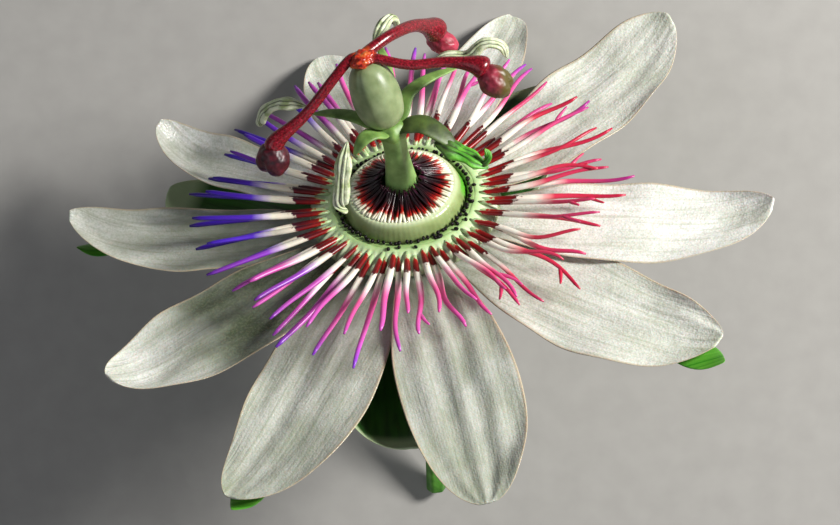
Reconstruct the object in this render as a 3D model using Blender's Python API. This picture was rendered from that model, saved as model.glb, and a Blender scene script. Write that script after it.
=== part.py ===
"""A blue passion flower, cut with a length of its stem and laid down.

The flower is designed upright in a frame of its own, in millimetres: its axis is +Z, height 0 is the
foot of the cup at its centre, azimuth 0 is +X and azimuth 90 is +Y. Each piece is then leaned over with
the whole flower, which rests on its cut stem end and on the tips of the two tepals at the back.
"""

import math
import random

import bmesh
import bpy
from mathutils import Matrix, Vector

MM = 0.001
GAP = 0.3  # clearance between pieces that touch on the real flower

# How it lies: the axis leans back from the upright, and the leaning direction turns a little to the left.
LEAN_DEG = 45.0
TURN_DEG = 10.0

# Receptacle, the green cup that everything grows from.
RECEPTACLE_RADIUS = 10.6
RECEPTACLE_RIM = -5.2
RECEPTACLE_FOOT = -9.4
BOSS_RADIUS = 8.9
BOSS_TOP = -1.2
# Its bowl from the foot out to the rim, as (radius, height).
RECEPTACLE_BOWL = ((1.7, RECEPTACLE_FOOT), (4.2, -8.9), (7.6, -7.6), (9.8, -6.2))

# Tepals: five sepals below, five petals above and between them.
TEPAL_ROOT = 9.3
TEPAL_THICKNESS = 0.55
SEPAL_BASE = -4.35
PETAL_BASE = -3.2
ROOT_SHARE = 0.40  # width at the root, as a share of the widest
WIDEST_AT = 0.58  # where a tepal is widest, as a share of its length
TIP_BLUNTNESS = 2.4  # 2 gives an elliptical tip, and more a blunter one
TIP_OVERSHOOT = 1.012  # the outline would close this far out, so that the tip keeps a little width
THIN_EDGE = 0.35  # how much thinner a blade is at its edges
HOOK_FROM = 0.75  # where the tip starts to hook up
PROW_FROM = 0.8  # where the middle starts to rise to the height of the edges, as a boat's bow does
STEPS_ALONG = 14
STEPS_ACROSS = 4
AWN_LENGTH = 3.2
AWN_STEPS = ((0.35, 0.6), (0.65, 0.35))  # share of its length, and how much each step narrows it
# name: azimuth, reach of the tip, width, tip height, sag, hook of the tip, cup of the edges, twist
SEPALS = {
    "sepal_1": (101, 39.5, 11.5, -9.0, -0.5, 0.0, 1.2, 0.0),
    "sepal_2": (32, 46.0, 14.2, -2.2, 1.2, 1.6, 1.6, 0.8),
    "sepal_3": (-44, 46.8, 14.8, -4.4, 0.3, 0.0, 1.2, 0.5),
    "sepal_4": (-121, 48.2, 15.2, -7.4, -0.4, 0.0, 1.4, 0.0),
    "sepal_5": (171, 44.0, 12.8, -3.4, 0.9, 0.4, 2.2, -0.4),
}
PETALS = {
    "petal_1": (64, 44.0, 10.5, -8.6, -0.4, 0.0, 1.1, 0.0),
    "petal_2": (-15, 47.0, 14.0, -5.2, 0.2, 1.6, 1.3, 0.0),
    "petal_3": (-85, 46.6, 15.6, -9.2, -0.8, 0.0, 1.4, 0.0),
    "petal_4": (-153, 44.8, 14.6, -5.2, 0.4, 1.2, 1.7, 0.4),
    "petal_5": (142, 38.4, 11.4, -5.4, 0.2, 1.6, 2.2, 0.0),
}

# Bracts: three leaves on the stem, close under the flower.
BRACT_ROOT = 2.9
BRACT_BASE = -11.4
BRACT_THICKNESS = 0.5
BRACTS = {
    "bract_1": (-99, 36.5, 18.0, -10.4, -0.6, 0.6, 1.5, 0.0),
    "bract_2": (151, 34.5, 16.0, -8.4, 0.4, 0.0, 1.6, 0.0),
    "bract_3": (45, 32.0, 15.0, -7.8, 0.4, 0.0, 1.6, 0.0),
}

# Stem, from under the receptacle to the cut end.
STEM_RADIUS = 1.25
STEM_STEPS = 16
STEM_ROUTE = ((0, 0, -9.7), (0.2, 0.2, -19.0), (-0.4, -0.6, -32.0), (-2.6, -4.6, -51.2))

# Corona: two ranks of filaments, each rank one piece with the ring that it grows from.
FILAMENTS = 38
FILAMENT_WIDTH = 0.8
FILAMENT_TAPER = 0.35
FILAMENT_STEPS = 4
MOST_SWAY = 0.9  # how far a tip strays sideways
MOST_LIFT = 0.25  # how far a tip strays up or down
LEAST_LENGTH = 0.93  # the shortest filament, as a share of the longest
CORONA_INNER = 9.45
# ring radius, ring bottom, ring top, reach, rise of the tips
UPPER_RANK = (10.3, -1.25, -0.35, 27.6, 2.6)
LOWER_RANK = (10.8, -2.75, -1.85, 29.4, 1.6)

# Ring of short dark-headed filaments at the foot of the cup.
PALI = 60
PALI_RADIUS = 8.75
PALI_RING_WIDTH = 0.5
PALI_RING_TOP = -0.1
PALI_HEAD = 0.42

# Cup (operculum), with a fringe of filaments that leans in on the column.
CUP_FOOT_RADIUS = 8.1
CUP_RIM_RADIUS = 6.9
CUP_RIM_HEIGHT = 2.0
# The cup's section, from its foot over the rim and the slope, and back under, as (radius, height).
CUP_SECTION = (
    (CUP_FOOT_RADIUS - 0.9, BOSS_TOP + GAP),
    (CUP_FOOT_RADIUS, BOSS_TOP + GAP),
    (CUP_FOOT_RADIUS + 0.1, 0.1),
    (CUP_FOOT_RADIUS - 0.1, 0.9),
    (7.6, 1.55),
    (CUP_RIM_RADIUS, CUP_RIM_HEIGHT),
    (6.3, 1.85),
    (5.2, 2.0),
    (3.2, 2.7),
    (3.2, 2.2),
    (5.4, 1.35),
    (6.6, 0.7),
    (CUP_FOOT_RADIUS - 0.9, 0.0),
)
FRINGE = 44
FRINGE_OUTER = 6.3
FRINGE_RING = 0.4  # width and height of the ring that the fringe grows from
FRINGE_STEPS = ((4.4, 2.95, 0.17), (2.5, 3.95, 0.1))  # radius, height and half width of each step inwards

# Column, with the ovary, the stamens and the styles on top of it.
COLUMN_FOOT = -0.9
COLUMN_TOP = 11.7
COLUMN_RADIUS = 1.75
# Its side, from the foot to the top, as (radius, height).
COLUMN_SIDE = (
    (2.2, COLUMN_FOOT),
    (2.15, 2.6),
    (1.95, 4.2),
    (COLUMN_RADIUS, 6.4),
    (COLUMN_RADIUS, 9.6),
    (COLUMN_RADIUS + 0.15, COLUMN_TOP - 0.4),
    (COLUMN_RADIUS, COLUMN_TOP),
)
OVARY_FOOT = Vector((-0.4, 0.0, 13.0))
OVARY_TOP = Vector((-2.0, 2.7, 21.6))
OVARY_RADIUS = 3.35
JUNCTION_RADIUS = 1.05
JUNCTION_FLATNESS = 0.7
STYLE_RADIUS = 0.7
STYLE_SHAPE = (0.9, 1, 1, 1, 1, 1, 1, 1, 1, 1.05, 1.15)

STAMEN_THICKNESS = 0.8
STAMEN_WIDTH = 1.8
STALK_SHAPE = (0.6, 0.85, 1, 1, 1, 0.95, 0.85, 0.7, 0.45)
# The middle line of each stamen's stalk, then of its anther.
STAMENS = {
    "stamen_1": (
        ((1.7, -0.5, 12.3), (4.0, -1.3, 14.2), (6.3, -2.2, 13.4), (8.2, -3.6, 11.9)),
        ((4.4, -2.2, 10.9), (6.4, -3.6, 10.4), (8.6, -4.9, 9.8), (10.6, -6.1, 8.8)),
    ),
    "stamen_2": (
        ((1.3, 1.1, 12.3), (2.8, 3.6, 14.5), (6.0, 5.8, 14.4), (9.8, 7.1, 13.7)),
        ((6.3, 9.0, 15.3), (11.0, 8.2, 15.0), (13.6, 7.4, 16.6), (16.3, 7.0, 14.2)),
    ),
    "stamen_3": (
        ((-1.7, 0.7, 12.3), (-4.2, 1.9, 13.6), (-6.9, 3.3, 14.2), (-9.3, 4.4, 13.7)),
        ((-10.4, 5.0, 15.0), (-12.4, 5.6, 16.0), (-15.2, 6.2, 15.0), (-17.0, 6.1, 11.9)),
    ),
    "stamen_4": (
        ((-1.4, -1.2, 12.3), (-2.6, -2.0, 13.8), (-3.9, -3.0, 13.9), (-4.7, -4.0, 12.9)),
        ((-5.9, -2.4, 13.3), (-6.8, -4.2, 11.2), (-7.4, -5.5, 8.9), (-7.8, -6.3, 6.2)),
    ),
    "stamen_5": (
        ((0.1, 1.8, 12.3), (0.6, 5.6, 14.2), (0.6, 8.8, 15.6), (0.2, 11.4, 16.6)),
        ((-1.6, 10.4, 18.2), (0.4, 12.8, 18.0), (1.2, 15.2, 17.2), (2.6, 15.4, 15.6)),
    ),
}
ANTHER_RADII = (1.3, 0.75)
ANTHER_SHAPE = (0.3, 0.8, 1, 1, 1, 1, 0.95, 0.75, 0.3)

# The middle line of each style, then the middle, direction and half sizes of its stigma.
STYLES = {
    "style_1": (
        ((-3.6, 3.0, 22.0), (-6.2, 1.4, 20.6), (-10.2, -0.4, 17.4), (-14.4, -1.4, 14.9)),
        ((-15.3, -2.0, 12.0), (-0.3, -0.3, -1.0), (2.1, 1.9, 2.3)),
    ),
    "style_2": (
        ((-0.7, 4.4, 22.2), (2.0, 6.6, 22.6), (5.0, 10.2, 20.6), (7.2, 12.8, 17.4)),
        ((8.7, 13.9, 14.6), (0.6, 0.4, -1.0), (2.0, 1.6, 2.0)),
    ),
    "style_3": (
        ((-0.4, 2.8, 22.3), (3.6, 2.2, 21.5), (8.0, 1.9, 20.0), (11.6, 0.8, 19.2)),
        ((13.8, -0.2, 17.0), (1.0, -0.4, -0.9), (1.9, 1.6, 2.3)),
    ),
}

# Each finish: colour, then roughness.
SEPAL_SKIN = ((0.80, 0.82, 0.72), 0.4)
PETAL_SKIN = ((0.86, 0.86, 0.82), 0.4)
BRACT_GREEN = ((0.03, 0.13, 0.02), 0.5)
RECEPTACLE_GREEN = ((0.25, 0.40, 0.12), 0.5)
STEM_GREEN = ((0.06, 0.26, 0.02), 0.45)
UPPER_FILAMENTS = ((0.75, 0.72, 0.70), 0.45)
LOWER_FILAMENTS = ((0.70, 0.55, 0.70), 0.45)
NEAR_BLACK = ((0.02, 0.01, 0.01), 0.6)
CUP_GREEN = ((0.42, 0.52, 0.25), 0.35)
FRINGE_MAROON = ((0.20, 0.01, 0.02), 0.4)
COLUMN_GREEN = ((0.28, 0.42, 0.13), 0.4)
OVARY_GREEN = ((0.33, 0.38, 0.25), 0.45)
JUNCTION_ORANGE = ((0.70, 0.12, 0.02), 0.4)
STALK_GREEN = ((0.30, 0.42, 0.14), 0.45)
ANTHER_CREAM = ((0.65, 0.72, 0.45), 0.6)
STYLE_RED = ((0.42, 0.01, 0.02), 0.3)
STIGMA_MAROON = ((0.16, 0.01, 0.02), 0.4)
SHARP_FROM_DEG = 50.0


def in_flower(radius, azimuth_deg, height):
    """The point at this radius, azimuth and height in the flower's own frame."""
    angle = math.radians(azimuth_deg)
    return Vector((radius * math.cos(angle), radius * math.sin(angle), height))


def lean():
    """The turn from the upright flower to the flower as it lies."""
    back = Matrix.Rotation(-math.radians(LEAN_DEG), 3, "X")
    return Matrix.Rotation(math.radians(TURN_DEG), 3, "Z") @ back


def finish(name, mesh_data, surface):
    """Make the piece an object of its own, leaned over, in metres, with its own material."""
    colour, roughness = surface
    bmesh.ops.recalc_face_normals(mesh_data, faces=mesh_data.faces)
    bmesh.ops.transform(mesh_data, matrix=(lean() * MM).to_4x4(), verts=mesh_data.verts)
    mesh = bpy.data.meshes.new(name)
    mesh_data.to_mesh(mesh)
    mesh_data.free()
    mesh.shade_smooth()
    mesh.set_sharp_from_angle(angle=math.radians(SHARP_FROM_DEG))
    material = bpy.data.materials.new(name)
    material.use_nodes = True
    shader = material.node_tree.nodes["Principled BSDF"]
    shader.inputs["Base Color"].default_value = (*colour, 1)
    shader.inputs["Roughness"].default_value = roughness
    mesh.materials.append(material)
    piece = bpy.data.objects.new(name, mesh)
    bpy.context.scene.collection.objects.link(piece)
    return piece


def smooth_route(points, steps):
    """Evenly shared points on a smooth curve through four points (a Catmull-Rom curve)."""
    first, last = Vector(points[0]), Vector(points[-1])
    inner = [Vector(p) for p in points]
    ends = [2 * first - inner[1], *inner, 2 * last - inner[-2]]
    route = []
    for step in range(steps + 1):
        place = step / steps * (len(points) - 1)
        span = min(int(place), len(points) - 2)
        t = place - span
        a, b, c, d = ends[span : span + 4]
        square, cube = 2 * a - 5 * b + 4 * c - d, 3 * b - a - 3 * c + d
        route.append(b + ((c - a) * t + square * t**2 + cube * t**3) / 2)
    return route


def rod(route, sizes, sides, upright=Vector((0, 0, 1))):
    """A closed rod along a route. Each size is (half width, half thickness) at that point."""
    made = bmesh.new()
    rings = []
    for i, point in enumerate(route):
        along = (route[min(i + 1, len(route) - 1)] - route[max(i - 1, 0)]).normalized()
        across = along.cross(upright).normalized()
        normal = across.cross(along)
        wide, thick = sizes[i]
        turns = [math.tau * (k + 0.5) / sides for k in range(sides)]
        ring = [point + across * wide * math.cos(t) + normal * thick * math.sin(t) for t in turns]
        rings.append([made.verts.new(p) for p in ring])
    for a, b in zip(rings, rings[1:]):
        for k in range(sides):
            made.faces.new((a[k], a[(k + 1) % sides], b[(k + 1) % sides], b[k]))
    made.faces.new(rings[0])
    made.faces.new(rings[-1][::-1])
    return made


def turned(outline, segments):
    """A closed outline of (radius, height) points, spun about the flower's axis."""
    made = bmesh.new()
    corners = [made.verts.new((radius, 0, height)) for radius, height in outline]
    edges = [made.edges.new(pair) for pair in zip(corners, corners[1:])]
    if outline[0][0] > 0:
        edges.append(made.edges.new((corners[-1], corners[0])))
    profile = corners + edges
    bmesh.ops.spin(made, geom=profile, cent=(0, 0, 0), axis=(0, 0, 1), angle=math.tau, steps=segments)
    bmesh.ops.remove_doubles(made, verts=made.verts, dist=1e-4)
    return made


def azimuth_of(face):
    """The azimuth of a face's middle, in degrees."""
    middle = face.calc_center_median()
    return math.degrees(math.atan2(middle.y, middle.x))


def in_order_round(faces):
    """The faces in order round the flower's axis."""
    return sorted(faces, key=azimuth_of)


def blade_shape(root, base, shape, share):
    """A leaf-shaped blade's middle line and half width at a share of its length."""
    reach, width, tip, sag, hook = shape[1:6]
    radius = root + (reach - root) * share
    bend = sag * math.sin(math.pi * share)
    curl = hook * max(0.0, (share - HOOK_FROM) / (1 - HOOK_FROM)) ** 2
    height = base + (tip - base) * share**1.5 - bend + curl
    if share < WIDEST_AT:
        swell = math.sin(math.pi / 2 * share / WIDEST_AT)
        half = width / 2 * (ROOT_SHARE + (1 - ROOT_SHARE) * swell)
    else:
        past = (share - WIDEST_AT) / (TIP_OVERSHOOT - WIDEST_AT)
        half = width / 2 * math.sqrt(1 - past**TIP_BLUNTNESS)
    return radius, height, half


def blade(name, root, base, thickness, shape):
    """A tepal or a bract: a thin closed blade, cupped across and shaped along its middle line."""
    azimuth, cup, twist = shape[0], shape[6], shape[7]
    made = bmesh.new()
    across = in_flower(1, azimuth + 90, 0)
    sheets = {0: [], 1: []}
    for i in range(STEPS_ALONG + 1):
        share = 1 - (1 - i / STEPS_ALONG) ** 1.25
        radius, height, half = blade_shape(root, base, shape, share)
        middle = in_flower(radius, azimuth, height)
        prow = max(0.0, (share - PROW_FROM) / (1 - PROW_FROM)) ** 2
        for side in sheets:
            row = []
            for j in range(STEPS_ACROSS + 1):
                t = 2 * j / STEPS_ACROSS - 1
                lift = cup * share**1.5 * (t**2 + (1 - t**2) * prow) + twist * share**2 * t
                drop = side * thickness * (1 - THIN_EDGE * t**2)
                row.append(made.verts.new(middle + across * half * t + Vector((0, 0, lift - drop))))
            sheets[side].append(row)
    under = {}
    for side, rows in sheets.items():
        for i in range(STEPS_ALONG):
            for j in range(STEPS_ACROSS):
                corners = [rows[i][j], rows[i + 1][j], rows[i + 1][j + 1], rows[i][j + 1]]
                under[side, i, j] = made.faces.new(corners)
    outline = [(i, 0) for i in range(STEPS_ALONG)] + [(STEPS_ALONG, j) for j in range(STEPS_ACROSS)]
    outline += [(i, STEPS_ACROSS) for i in range(STEPS_ALONG, 0, -1)]
    outline += [(0, j) for j in range(STEPS_ACROSS, 0, -1)]
    top, low = sheets[0], sheets[1]
    for (i, j), (next_i, next_j) in zip(outline, outline[1:] + outline[:1]):
        made.faces.new((top[i][j], top[next_i][next_j], low[next_i][next_j], low[i][j]))
    return made, under


def add_awn(made, under, azimuth):
    """The small green horn on the back of a sepal, drawn out of one face near the tip."""
    root = under[1, STEPS_ALONG - 3, STEPS_ACROSS // 2]
    for share, size in AWN_STEPS:
        root = bmesh.ops.extrude_discrete_faces(made, faces=[root])["faces"][0]
        middle = root.calc_center_median()
        drawn = in_flower(0.8, azimuth, -0.6) * AWN_LENGTH * share
        for corner in root.verts:
            corner.co = middle + (corner.co - middle) * size + drawn


def make_tepals():
    for name, shape in SEPALS.items():
        made, under = blade(name, TEPAL_ROOT, SEPAL_BASE, TEPAL_THICKNESS, shape)
        add_awn(made, under, shape[0])
        finish(name, made, SEPAL_SKIN)
    for name, shape in PETALS.items():
        made, _ = blade(name, TEPAL_ROOT, PETAL_BASE, TEPAL_THICKNESS, shape)
        finish(name, made, PETAL_SKIN)


def make_bracts():
    for name, shape in BRACTS.items():
        made, _ = blade(name, BRACT_ROOT, BRACT_BASE, BRACT_THICKNESS, shape)
        finish(name, made, BRACT_GREEN)


def make_receptacle():
    outline = [
        (0, RECEPTACLE_FOOT),
        *RECEPTACLE_BOWL,
        (RECEPTACLE_RADIUS, RECEPTACLE_RIM - GAP),
        (RECEPTACLE_RADIUS, RECEPTACLE_RIM),
        (BOSS_RADIUS, RECEPTACLE_RIM),
        (BOSS_RADIUS, BOSS_TOP),
        (0, BOSS_TOP),
    ]
    finish("receptacle", turned(outline, 40), RECEPTACLE_GREEN)


def make_stem():
    route = smooth_route(STEM_ROUTE, STEM_STEPS)
    sizes = [(STEM_RADIUS, STEM_RADIUS)] * len(route)
    finish("stem", rod(route, sizes, 10, Vector((0, 1, 0))), STEM_GREEN)


def filament_path(rank, share, sway, lift):
    """Radius, sideways shift and height of a corona filament at a share of its length."""
    ring_radius, bottom, top, reach, rise = rank
    radius = ring_radius + (reach - ring_radius) * share
    height = (bottom + top) / 2 + rise * share**1.4 + lift * share**2
    return radius, sway * share**2, height


def make_corona(name, rank, seed, surface):
    """A ring with an outward filament drawn out of every other face of its outer side."""
    dice = random.Random(seed)
    ring_radius, bottom, top = rank[:3]
    outline = [(CORONA_INNER, bottom), (ring_radius, bottom), (ring_radius, top), (CORONA_INNER, top)]
    made = turned(outline, 2 * FILAMENTS)
    made.faces.ensure_lookup_table()
    outer = [f for f in made.faces if all(v.co.xy.length > ring_radius - 0.01 for v in f.verts)]
    for root in in_order_round(outer)[::2]:
        azimuth = azimuth_of(root)
        sway, lift = dice.uniform(-MOST_SWAY, MOST_SWAY), dice.uniform(-MOST_LIFT, MOST_LIFT)
        length = dice.uniform(LEAST_LENGTH, 1.0)
        face = root
        for step in range(1, FILAMENT_STEPS + 1):
            share = step / FILAMENT_STEPS
            radius, shift, height = filament_path(rank, share * length, sway, lift)
            half = FILAMENT_WIDTH / 2 * (1 - FILAMENT_TAPER * share)
            face = bmesh.ops.extrude_discrete_faces(made, faces=[face])["faces"][0]
            along, across = in_flower(1, azimuth, 0), in_flower(1, azimuth + 90, 0)
            centre = face.calc_center_median()
            for corner in face.verts:
                side = math.copysign(half, (corner.co - centre).dot(across))
                up = math.copysign(half, corner.co.z - centre.z)
                corner.co = along * radius + across * (shift + side) + Vector((0, 0, height + up))
    finish(name, made, surface)


def make_pali():
    """The ring of short filaments round the cup's foot, with a small dark head on each."""
    inner, outer = PALI_RADIUS - PALI_RING_WIDTH / 2, PALI_RADIUS + PALI_RING_WIDTH / 2
    foot = BOSS_TOP + GAP
    outline = [(inner, foot), (outer, foot), (outer, PALI_RING_TOP), (inner, PALI_RING_TOP)]
    made = turned(outline, 2 * PALI)
    tops = [f for f in made.faces if all(v.co.z > PALI_RING_TOP - 0.01 for v in f.verts)]
    for face in in_order_round(tops)[::2]:
        head = bmesh.ops.extrude_discrete_faces(made, faces=[face])["faces"][0]
        for corner in head.verts:
            corner.co.z += PALI_HEAD
    finish("pali_ring", made, NEAR_BLACK)


def make_cup():
    finish("operculum", turned(CUP_SECTION, 48), CUP_GREEN)


def make_fringe():
    """Fine filaments on the cup's slope, drawn inwards from a thin ring to the column."""
    inner_radius = FRINGE_OUTER - FRINGE_RING
    low = CUP_RIM_HEIGHT + 0.2
    high = low + FRINGE_RING
    outline = [(inner_radius, low), (FRINGE_OUTER, low), (FRINGE_OUTER, high), (inner_radius, high)]
    made = turned(outline, 2 * FRINGE)
    inner = [f for f in made.faces if all(v.co.xy.length < inner_radius + 0.01 for v in f.verts)]
    for face in in_order_round(inner)[::2]:
        azimuth = azimuth_of(face)
        across = in_flower(1, azimuth + 90, 0)
        for radius, height, half in FRINGE_STEPS:
            face = bmesh.ops.extrude_discrete_faces(made, faces=[face])["faces"][0]
            centre = face.calc_center_median()
            for corner in face.verts:
                side = math.copysign(half, (corner.co - centre).dot(across))
                up = math.copysign(half, corner.co.z - centre.z)
                corner.co = in_flower(radius, azimuth, height + up) + across * side
    finish("operculum_fringe", made, FRINGE_MAROON)


def make_column():
    outline = [(0, COLUMN_FOOT), *COLUMN_SIDE, (0, COLUMN_TOP)]
    finish("column", turned(outline, 20), COLUMN_GREEN)


def egg(middle, along, half_sizes, segments, rings):
    """A closed egg whose long axis points along; half sizes are across, across and along."""
    made = bmesh.new()
    bmesh.ops.create_uvsphere(made, u_segments=segments, v_segments=rings, radius=1)
    turn = Vector(along).to_track_quat("Z", "Y").to_matrix().to_4x4()
    size = Matrix.Diagonal((*half_sizes, 1))
    bmesh.ops.transform(made, matrix=Matrix.Translation(middle) @ turn @ size, verts=made.verts)
    return made


def make_ovary():
    along = OVARY_TOP - OVARY_FOOT
    sizes = (OVARY_RADIUS, OVARY_RADIUS, along.length / 2)
    finish("ovary", egg((OVARY_FOOT + OVARY_TOP) / 2, along, sizes, 20, 12), OVARY_GREEN)
    half_height = JUNCTION_RADIUS * JUNCTION_FLATNESS
    top = OVARY_TOP + along.normalized() * (half_height + GAP)
    sizes = (JUNCTION_RADIUS, JUNCTION_RADIUS, half_height)
    finish("style_junction", egg(top, along, sizes, 12, 6), JUNCTION_ORANGE)


def make_stamens():
    for name, (stalk, anther) in STAMENS.items():
        route = smooth_route(stalk, 8)
        sizes = [(STAMEN_WIDTH / 2 * w, STAMEN_THICKNESS / 2) for w in STALK_SHAPE]
        finish(name, rod(route, sizes, 8), STALK_GREEN)
        route = smooth_route(anther, 8)
        wide, thick = ANTHER_RADII
        sizes = [(wide * w, thick * w) for w in ANTHER_SHAPE]
        finish(name.replace("stamen", "anther"), rod(route, sizes, 8), ANTHER_CREAM)


def make_styles():
    for name, (line, (middle, along, half_sizes)) in STYLES.items():
        route = smooth_route(line, 10)
        sizes = [(STYLE_RADIUS * w, STYLE_RADIUS * w) for w in STYLE_SHAPE]
        finish(name, rod(route, sizes, 8), STYLE_RED)
        made = egg(Vector(middle), along, half_sizes, 12, 8)
        finish(name.replace("style", "stigma"), made, STIGMA_MAROON)


def stand_on_floor():
    """Bring the middle of the box to x = y = 0 and the lowest point to z = 0."""
    pieces = list(bpy.context.scene.collection.objects)
    corners = [v.co for piece in pieces for v in piece.data.vertices]
    low = Vector([min(c[i] for c in corners) for i in range(3)])
    high = Vector([max(c[i] for c in corners) for i in range(3)])
    shift = Vector((-(low.x + high.x) / 2, -(low.y + high.y) / 2, -low.z))
    for piece in pieces:
        piece.location = shift


def main():
    for old in list(bpy.data.objects):
        bpy.data.objects.remove(old, do_unlink=True)
    make_tepals()
    make_bracts()
    make_receptacle()
    make_stem()
    make_corona("corona_upper", UPPER_RANK, 3, UPPER_FILAMENTS)
    make_corona("corona_lower", LOWER_RANK, 5, LOWER_FILAMENTS)
    make_pali()
    make_cup()
    make_fringe()
    make_column()
    make_ovary()
    make_stamens()
    make_styles()
    stand_on_floor()


main()
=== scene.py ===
# %% [markdown]
# # A passion flower, from frame to finish
# The flower was cut with a length of stem and laid down, so it leans back on its cut end and on two of its
# tepals. The CAD frame gives every piece its place and size. Here each piece is modelled again with the
# curves, grooves and colours of the living one.

# %% Load the frame
import math
import random

import bmesh
import bpy
import numpy as np
from mathutils import Matrix, Vector, noise


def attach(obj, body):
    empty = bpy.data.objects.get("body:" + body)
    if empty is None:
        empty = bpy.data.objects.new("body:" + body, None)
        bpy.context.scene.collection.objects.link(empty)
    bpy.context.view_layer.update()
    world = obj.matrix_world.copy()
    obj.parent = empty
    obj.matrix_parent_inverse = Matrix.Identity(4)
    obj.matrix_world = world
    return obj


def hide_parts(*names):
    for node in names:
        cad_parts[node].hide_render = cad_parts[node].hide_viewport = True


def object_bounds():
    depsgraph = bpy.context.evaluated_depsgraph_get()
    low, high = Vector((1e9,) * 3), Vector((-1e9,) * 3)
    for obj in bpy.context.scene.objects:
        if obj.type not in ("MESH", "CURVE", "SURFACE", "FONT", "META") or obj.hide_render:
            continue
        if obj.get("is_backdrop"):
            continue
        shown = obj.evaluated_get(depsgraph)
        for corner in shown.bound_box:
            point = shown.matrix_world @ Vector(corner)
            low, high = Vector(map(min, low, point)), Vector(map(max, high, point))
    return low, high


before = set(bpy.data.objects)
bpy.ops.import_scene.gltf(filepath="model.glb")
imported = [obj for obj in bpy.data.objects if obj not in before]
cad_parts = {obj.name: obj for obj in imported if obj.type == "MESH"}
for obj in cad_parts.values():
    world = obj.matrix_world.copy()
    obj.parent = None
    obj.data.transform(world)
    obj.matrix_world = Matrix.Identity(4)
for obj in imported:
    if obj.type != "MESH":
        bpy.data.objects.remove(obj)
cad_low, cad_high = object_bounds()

MM = 0.001
print("CAD box in mm:", [round((b - a) / MM, 1) for a, b in zip(cad_low, cad_high)])

# %% [markdown]
# ## The flower's own frame
# A flower is easiest to model standing straight up, with its axis on Z. The frame has it leaned back by 45
# degrees and turned by 10. One matrix takes a finished mesh from the upright flower to where it lies. Its
# place comes from the column, whose flat foot is on the axis: the mean of the foot's corners is a point
# that is known in both frames.

# %% Find the matrix from the upright flower to the frame
LEAN_DEG, TURN_DEG = 45.0, 10.0
COLUMN_FOOT = -0.9 * MM
turn_over = Matrix.Rotation(math.radians(TURN_DEG), 3, "Z") @ Matrix.Rotation(-math.radians(LEAN_DEG), 3, "X")
axis = turn_over @ Vector((0, 0, 1))
corners = [v.co.copy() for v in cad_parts["column"].data.vertices]
lowest = min(c.dot(axis) for c in corners)
foot = [c for c in corners if c.dot(axis) < lowest + 0.01 * MM]
foot_middle = (Vector(map(min, zip(*foot))) + Vector(map(max, zip(*foot)))) / 2
centre = foot_middle - axis * COLUMN_FOOT
LAY_DOWN = Matrix.Translation(centre) @ turn_over.to_4x4()
print("centre of the flower in mm:", [round(c / MM, 2) for c in centre])

# %% [markdown]
# ## Camera
# The camera looks straight down on the lying flower, which shows its face at 45 degrees. A long lens keeps
# the front and back tepals close in size.

# %% Set up the camera
CAMERA_HEIGHT = 450 * MM
CAMERA_ASIDE, CAMERA_BACK = 2.05 * MM, -8.27 * MM
camera_data = bpy.data.cameras.new("camera")
camera_data.lens, camera_data.sensor_width = 150.4, 36
camera = bpy.data.objects.new("camera", camera_data)
camera.location = centre + Vector((CAMERA_ASIDE, CAMERA_BACK, CAMERA_HEIGHT))
bpy.context.scene.collection.objects.link(camera)
bpy.context.scene.camera = camera
print("camera at", [round(c / MM) for c in camera.location], "mm")

# %% [markdown]
# ## Tools for finishes
# A finish is a small tree of nodes that ends in one Principled shader. Colours are written as hex values and
# one function turns them to linear light. One function adds any node and gives back its main output, ready
# to be linked on. The size of a pattern is given to the millimetre: 2.2 / MM is 2.2 grains to each one.

# %% Helpers for finishes
def srgb(text):
    """A hex colour as linear red, green, blue and alpha."""
    parts = [int(text[i : i + 2], 16) / 255 for i in (1, 3, 5)]
    return (*[p / 12.92 if p <= 0.04045 else ((p + 0.055) / 1.055) ** 2.4 for p in parts], 1.0)


MAIN_OUTPUT = {"Attribute": "Fac", "TexCoord": "Object", "Mix": 2}


def add(tree, kind, inputs=None, stops=None, **settings):
    """Add a node with its settings, colour stops, and values or links for its inputs. Gives its output."""
    node = tree.nodes.new("ShaderNode" + kind)
    for name, value in settings.items():
        setattr(node, name, value)
    for name, value in (inputs or {}).items():
        value = srgb(value) if isinstance(value, str) else value
        if isinstance(value, bpy.types.NodeSocket):
            tree.links.new(value, node.inputs[name])
        else:
            node.inputs[name].default_value = value
    if stops:
        ramp = node.color_ramp.elements
        while len(ramp) < len(stops):
            ramp.new(1)
        for element, (place, colour) in zip(ramp, stops):
            element.position = place
        for element, (place, colour) in zip(ramp, stops):
            element.color = srgb(colour) if isinstance(colour, str) else (colour, colour, colour, 1)
    return node.outputs[MAIN_OUTPUT.get(kind, 0)] if node.outputs else node


def new_material(name, **surface):
    """An empty material with a Principled shader, whose uniform values are set on its sockets."""
    material = bpy.data.materials.new(name)
    material.use_nodes = True
    material.node_tree.nodes.clear()
    shader = add(material.node_tree, "BsdfPrincipled").node
    add(material.node_tree, "OutputMaterial", {"Surface": shader.outputs["BSDF"]})
    for name, value in surface.items():
        shader.inputs[name.replace("_", " ").title().replace("Ior", "IOR")].default_value = value
    return material, material.node_tree, shader


def coat(shader, colour, relief=None):
    """Link the colour of a finish, and the relief of its skin, to its shader."""
    shader.id_data.links.new(colour, shader.inputs["Base Color"])
    if relief:
        shader.id_data.links.new(relief, shader.inputs["Normal"])


print("finish tools are ready")

# %% [markdown]
# ## Floor and light
# The floor is a plain pale board, painted matt, so that it takes soft shadows and no reflections. One large
# soft lamp stands low at the right, so the right tepals shine and the left ones fall into shade. Two weak
# fills and a faint sky open the shadows.

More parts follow.
